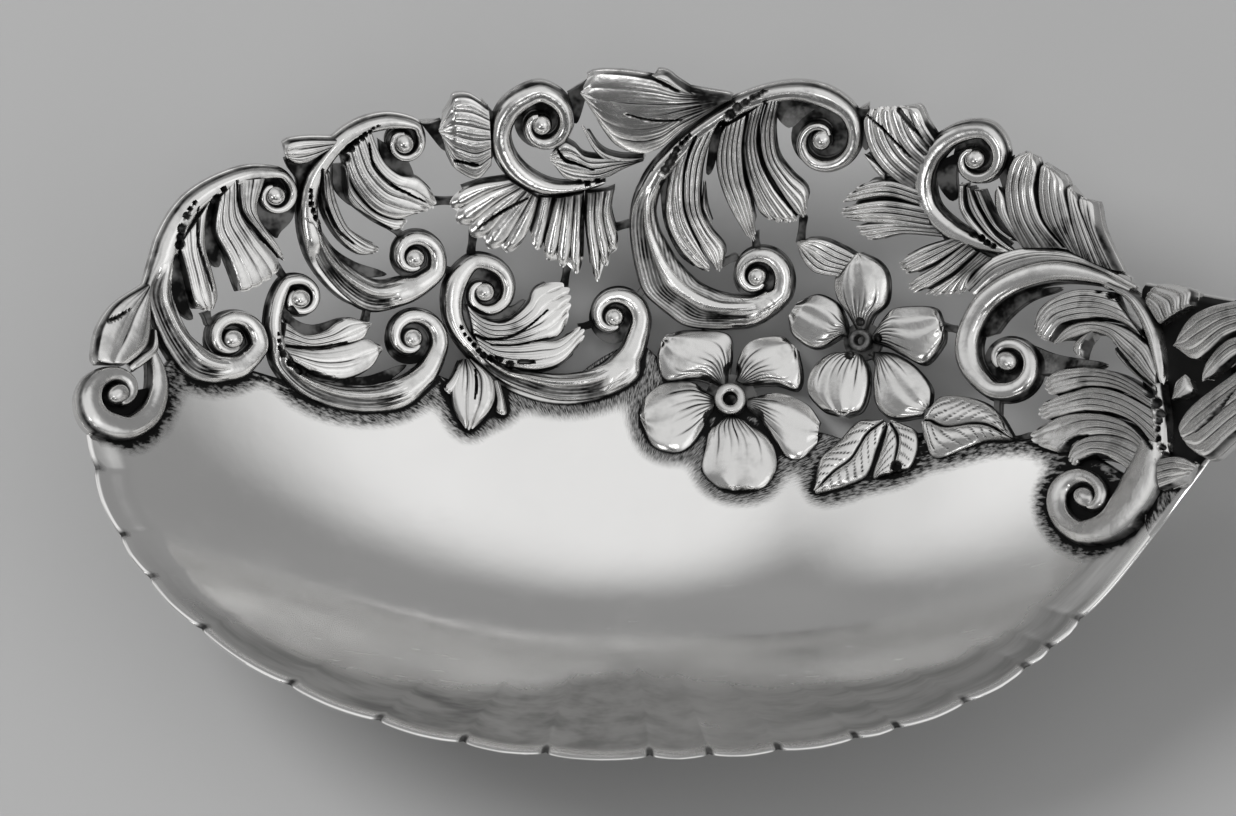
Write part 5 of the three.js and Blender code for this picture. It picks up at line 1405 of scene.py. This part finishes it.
lower.ribbon(
    [[43, -5.4], [41.4, -4.1], [39.7, -3.6], [38.3, -4], [37.7, -4.6]],
    [[43.4, -2.6], [41.3, -1.9], [39.4, -1.9], [38, -2.4], [37.1, -3.5]], 3, 0.5, swell=0.1,
)
lower.ribbon(
    [[44.2, 2], [44.5, -0.1], [44.5, -1.9], [44.7, -3.6]],
    [[45.3, 2.3], [45.6, -0.1], [45.6, -1.9], [45.5, -3.9]], 1, 0.75, swell=0.1,
)
lower.scroll([
    [44.3, -2.4, 1], [43.5, -4.9, 1.45], [42.2, -7.4, 1.45], [40.6, -9.3, 1.2], [38.5, -10, 1],
], end=([38.6, -7.1], 1.15))
lower.grooves(
    [[44.5, -3, 0.16], [43, -1.1, 0.23], [41.1, -0.1, 0.14], [38.8, 0.2, 0.07]],
    [[38.3, -4.1, 0.21], [39.8, -3.7, 0.31], [41.1, -4.3, 0.24], [41, -5.7, 0.14]],
    [[39.1, -1.9, 0.09], [37.8, -2.3, 0.24], [36.7, -3.4, 0.35]],
)
lower.pits(
    [44.5, 1.8, 0.47], [44.9, 0.8, 0.42], [45.2, -0.1, 0.33], [45.1, -0.7, 0.29], [45, -1.4, 0.24],
    [45, -2.2, 0.23], [45.2, -2.9, 0.23], [45.4, -3.6, 0.26],
)
lower.webs([32.2, -2.1, 34.2, -1.6])
lower.lay()

# Shoulder leaves: three small castings of silver, pleated like the sprays, laid on the front of the neck
# and the root of the handle on a bed of solder a quarter of a millimetre thick.
SOLDER_BED = 0.25
leaf = Chased("shoulder_leaf_far", SOLDER_BED)
leaf.ribbon([[45, 7.8], [44.4, 8.7], [43.7, 9.6]], [[47.7, 9.4], [47.6, 10.5], [45, 11.2]], 4, 0.5, 0.02)
leaf.lay()
leaf = Chased("shoulder_leaf_middle", SOLDER_BED)
leaf.ribbon(
    [[52.3, 9.6], [49.4, 9], [47.5, 7.9], [46.2, 5.8]],
    [[52.3, 7.2], [50.6, 6.5], [49, 5.1], [47.8, 4.6], [46.3, 5.6]], 4, 0.55,
)
leaf.ribbon(
    [[52.3, 6.6], [50.6, 6.1], [49, 4.4], [48.5, 2.8]],
    [[52.3, 5.4], [51.1, 4.7], [49.7, 3.5], [48.6, 2.6]], 2, 0.5,
)
leaf.lay()
leaf = Chased("shoulder_leaf_near", SOLDER_BED)
leaf.ribbon(
    [[52.7, 4.4], [50.6, 2.8], [47.8, 0.6], [46.7, -0.9], [46.8, -1.9]],
    [[52.3, -0.8], [50.9, -1.9], [49, -3.6], [47.8, -3.3], [47, -2.3]], 4, 0.6,
)
leaf.ribbon(
    [[45.1, -3.9], [46.6, -3.7], [48.2, -4.4]], [[45.1, -6.3], [46.1, -5.9], [47.2, -5.4]], 4, 0.4, 0.08,
)
leaf.ribbon([[46.1, 1.3], [46.4, 2.6], [47, 3.3]], [[47, 1.4], [47.7, 1.9], [47.4, 3.2]], 1, 0.4)
leaf.grooves([[51.5, 1.9, 0.09], [49.7, -0.3, 0.17], [48.2, -1.7, 0.07]])
leaf.lay()

# Sulphide left in the recesses: it stays wherever a cloth can't reach, so each point is darkened by
# how far it lies below the mean of the relief about it, and the sheet by how near the border is.
CELL, OPEN_FLOOR, FRONT_H = 0.1, 0.3, 0.45
map_u, map_v = np.arange(-54, 58, CELL), np.arange(-36, 38, CELL)
relief = np.full((len(map_v), len(map_u)), OPEN_FLOOR)
cover = np.zeros_like(relief)
for ornament in Chased.made:
    for u, v, h, _ in ornament.grids:
        row = np.clip(((v - map_v[0]) / CELL + 0.5).astype(int), 0, len(map_v) - 1)
        col = np.clip(((u - map_u[0]) / CELL + 0.5).astype(int), 0, len(map_u) - 1)
        np.maximum.at(relief, (row, col), h)
        cover[row, col] = 1
grown = relief.copy()
for shift in ((0, 1), (0, -1), (1, 0), (-1, 0)):
    grown = np.maximum(grown, np.roll(relief, shift, (0, 1)))
board_u, board_v = np.meshgrid(map_u, map_v)
from_hub_u, from_hub_v = board_u - hub_u, board_v - hub_v
plain = np.hypot(from_hub_u, from_hub_v) < edge_reach(np.arctan2(from_hub_v, from_hub_u))
relief = np.where(plain, np.maximum(grown, SHEET), grown)


def soften(field, width):
    """Mean of the field about each cell, weighted by a bell of that width in millimetres."""
    reach = int(3 * width / CELL)
    bell = np.exp(-0.5 * (np.arange(-reach, reach + 1) * CELL / width) ** 2)
    bell /= bell.sum()
    for axis in (0, 1):
        field = sum(weight * np.roll(field, k - reach, axis) for k, weight in enumerate(bell))
    return field


def read(field, u, v):
    """The field at board points, blended from its four nearest cells."""
    row, col = (v - map_v[0]) / CELL, (u - map_u[0]) / CELL
    i = np.clip(row.astype(int), 0, len(map_v) - 2)
    j = np.clip(col.astype(int), 0, len(map_u) - 2)
    p, q = row - i, col - j
    low = field[i, j] * (1 - q) + field[i, j + 1] * q
    return low * (1 - p) + (field[i + 1, j] * (1 - q) + field[i + 1, j + 1] * q) * p


near_mean, wide_mean = soften(relief, 0.35), soften(relief, 0.9)

# The outer sides of the border were wiped too, and the sides of its piercings weren't: the open floor is
# flooded in from an edge of the map, three cells at a step, and stops at the metal.
inside = soften(np.maximum(cover, plain), 0.25) > 0.3
open_side = np.zeros_like(cover)
open_side[0] = 1
for _ in range(400):
    spread = open_side
    for shift in ((0, 3), (0, -3), (3, 0), (-3, 0)):
        spread = np.maximum(spread, np.roll(open_side, shift, (0, 1)))
    spread = np.where(inside, 0, spread)
    if (spread == open_side).all():
        break
    open_side = spread
open_side = soften(open_side, 0.6)
# Nearness of the border on the sheet, for its hatched matting and the painted shade that darkens it.
covered = soften(cover, 0.9)
beside = np.interp(
    covered, [0, 0.006, 0.023, 0.067, 0.16, 0.31, 0.5], [0, 0.04, 0.23, 0.42, 0.62, 0.81, 1],
)
for ornament in Chased.made:
    values = []
    for u, v, h, ink in ornament.grids:
        sunk = ease((read(near_mean, u, v) - h - 0.02) / 0.32)
        deep = ease((read(wide_mean, u, v) - h - 0.05) / 0.5)
        shut = 1 - 0.85 * ease((read(open_side, u, v) - 0.12) / 0.2)
        shut = np.where(h < SHEET, shut, 1)
        left_black = np.clip(shut * np.maximum(ink, np.maximum(sunk, deep)), 0, 1)
        values.append(with_ends(np.where(ink < 0, 0.1, left_black)))
    stain(ornament.piece, "oxide", values)
sheet_front, neck_front = sheet_h > FRONT_H, neck_h > FRONT_H
sheet_dark = sheet_front * ease((read(near_mean, sheet_u, sheet_v) - SHEET - 0.1) / 0.3)
neck_dark = np.maximum(ease((read(near_mean, neck_uu, neck_v) - SHEET - 0.03) / 0.25), neck_ground)
stain(bowl, "oxide", [with_ends(np.maximum(sheet_dark, sheet_ink)), with_ends(neck_front * neck_dark)])
# The hatched matting and painted shade beside the border fade out towards the rim.
rim_fade = 1 - 0.7 * filed * ease((3.5 - reach_in + sheet_r) / 3.5)
sheet_near = sheet_front * rim_fade * read(beside, sheet_u, sheet_v)
neck_near = np.clip(1.8 * read(beside, neck_uu, neck_v), 0, 1) * ease(neck_edge / 0.6)
stain(bowl, "matting_and_shade", [with_ends(sheet_near), with_ends(neck_front * neck_near)])
stain(bowl, "rim_reflection_band", [with_ends(rim_reflection_band), with_ends(0 * neck_v)])
stain(bowl, "brushed", [with_ends(brushed), with_ends(0 * neck_v)])
stain(bowl, "inset", [with_ends((reach_in - sheet_r) / 10), with_ends(0 * neck_v)])

# Floor: a plain sheet of pale grey card, eight metres square, that the spoon lies on. It has a faint
# tooth and an uneven tint.
card, wire = new_finish("pale_card")
shader = card.node_tree.nodes["Principled BSDF"]
tooth = wire.cloud(900.0, 3.0, 0.6)
tint = wire.cloud(2.0, 1.0).blend((0.37, 0.37, 0.37, 1), (0.4, 0.4, 0.4, 1))
card.node_tree.links.new(tint.socket, shader.inputs["Base Color"])
shader.inputs["Roughness"].default_value = 0.8
bump = wire.add("ShaderNodeBump", {}, {"Height": tooth, "Distance": 0.00002, "Strength": 0.5})
card.node_tree.links.new(bump.socket, shader.inputs["Normal"])
floor_mesh = bpy.data.meshes.new("floor")
floor_mesh.from_pydata([(-4, -4, 0), (4, -4, 0), (4, 4, 0), (-4, 4, 0)], [], [(0, 1, 2, 3)])
floor_mesh.materials.append(card)
floor = bpy.data.objects.new("floor", floor_mesh)
bpy.context.scene.collection.objects.link(floor)

# Studio: a pale grey room with a broad soft light overhead, a window to the left and a screen to the
# right, darker where the camera stands; three small bright panels there give the chased edges their
# sparkle. One soft lamp at the left lays the shadow and doesn't show in the silver.
world = bpy.data.worlds.new("studio")
bpy.context.scene.world = world
world.use_nodes = True
wire = Wire(world.node_tree)
way = wire.add("ShaderNodeTexCoord", {}, {}, out="Generated")


def panel(aim, inner, outer):
    """A soft round light panel: a smooth step on the cosine between the way looked and its aim."""
    length = math.sqrt(sum(a * a for a in aim))
    sockets = {0: way, 1: tuple(a / length for a in aim)}
    facing = wire.add("ShaderNodeVectorMath", {"operation": "DOT_PRODUCT"}, sockets, out="Value")
    return facing.ramp(math.cos(math.radians(outer)), math.cos(math.radians(inner)))


haze = wire.cloud(2.2, 2.0, 0.5, way)
light = 0.27 + 0.2 * panel((-0.97, 0.22, 0.06), 10, 42) - 0.15 * panel((0.05, -0.92, 0.36), 10, 36)
light = light + 0.54 * panel((0.25, 0.0, 0.97), 24, 56) + 0.42 * panel((-0.72, 0.35, 0.6), 8, 34)
light = (light + 0.55 * panel((0.72, -0.5, 0.48), 12, 36)) * (0.88 + 0.24 * haze)
light = light + 3.1 * panel((-0.42, -0.74, 0.53), 3, 10) + 3.2 * panel((0.22, -0.85, 0.48), 2, 6)
strength = light + 2.4 * panel((-0.02, -0.55, 0.83), 2, 8)
background = world.node_tree.nodes["Background"]
background.inputs["Color"].default_value = (1, 1, 1, 1)
world.node_tree.links.new(strength.socket, background.inputs["Strength"])
lamp = bpy.data.lights.new("key", "AREA")
lamp.shape = "DISK"
lamp.size = 0.7
lamp.energy = 10
key = bpy.data.objects.new("key", lamp)
key.location = (-0.8, 0.27, 0.95)
key.visible_glossy = False
bpy.context.scene.collection.objects.link(key)
key.rotation_euler = (-key.location).to_track_quat("-Z", "Y").to_euler()

# Camera: looks square on the leaning board from over the near rim, 66 degrees above level, a metre and a
# half off with a long lens, so that 105 mm of the spoon fill the width of the frame.
camera = bpy.data.objects.new("camera", bpy.data.cameras.new("camera"))
bpy.context.scene.collection.objects.link(camera)
camera.data.sensor_width = 36
camera.data.lens = 514
camera.data.clip_end = 20
stand, aim_x, aim_y, aim_z = 1.5, -0.00106, 0.00056, DEPTH / 1000
camera.location = (
    aim_x, aim_y - stand * math.cos(BOARD_ANGLE), aim_z + stand * math.sin(BOARD_ANGLE),
)
camera.rotation_euler = (math.pi / 2 - BOARD_ANGLE, 0, 0)
bpy.context.scene.camera = camera
bpy.context.scene.view_settings.view_transform = "Standard"
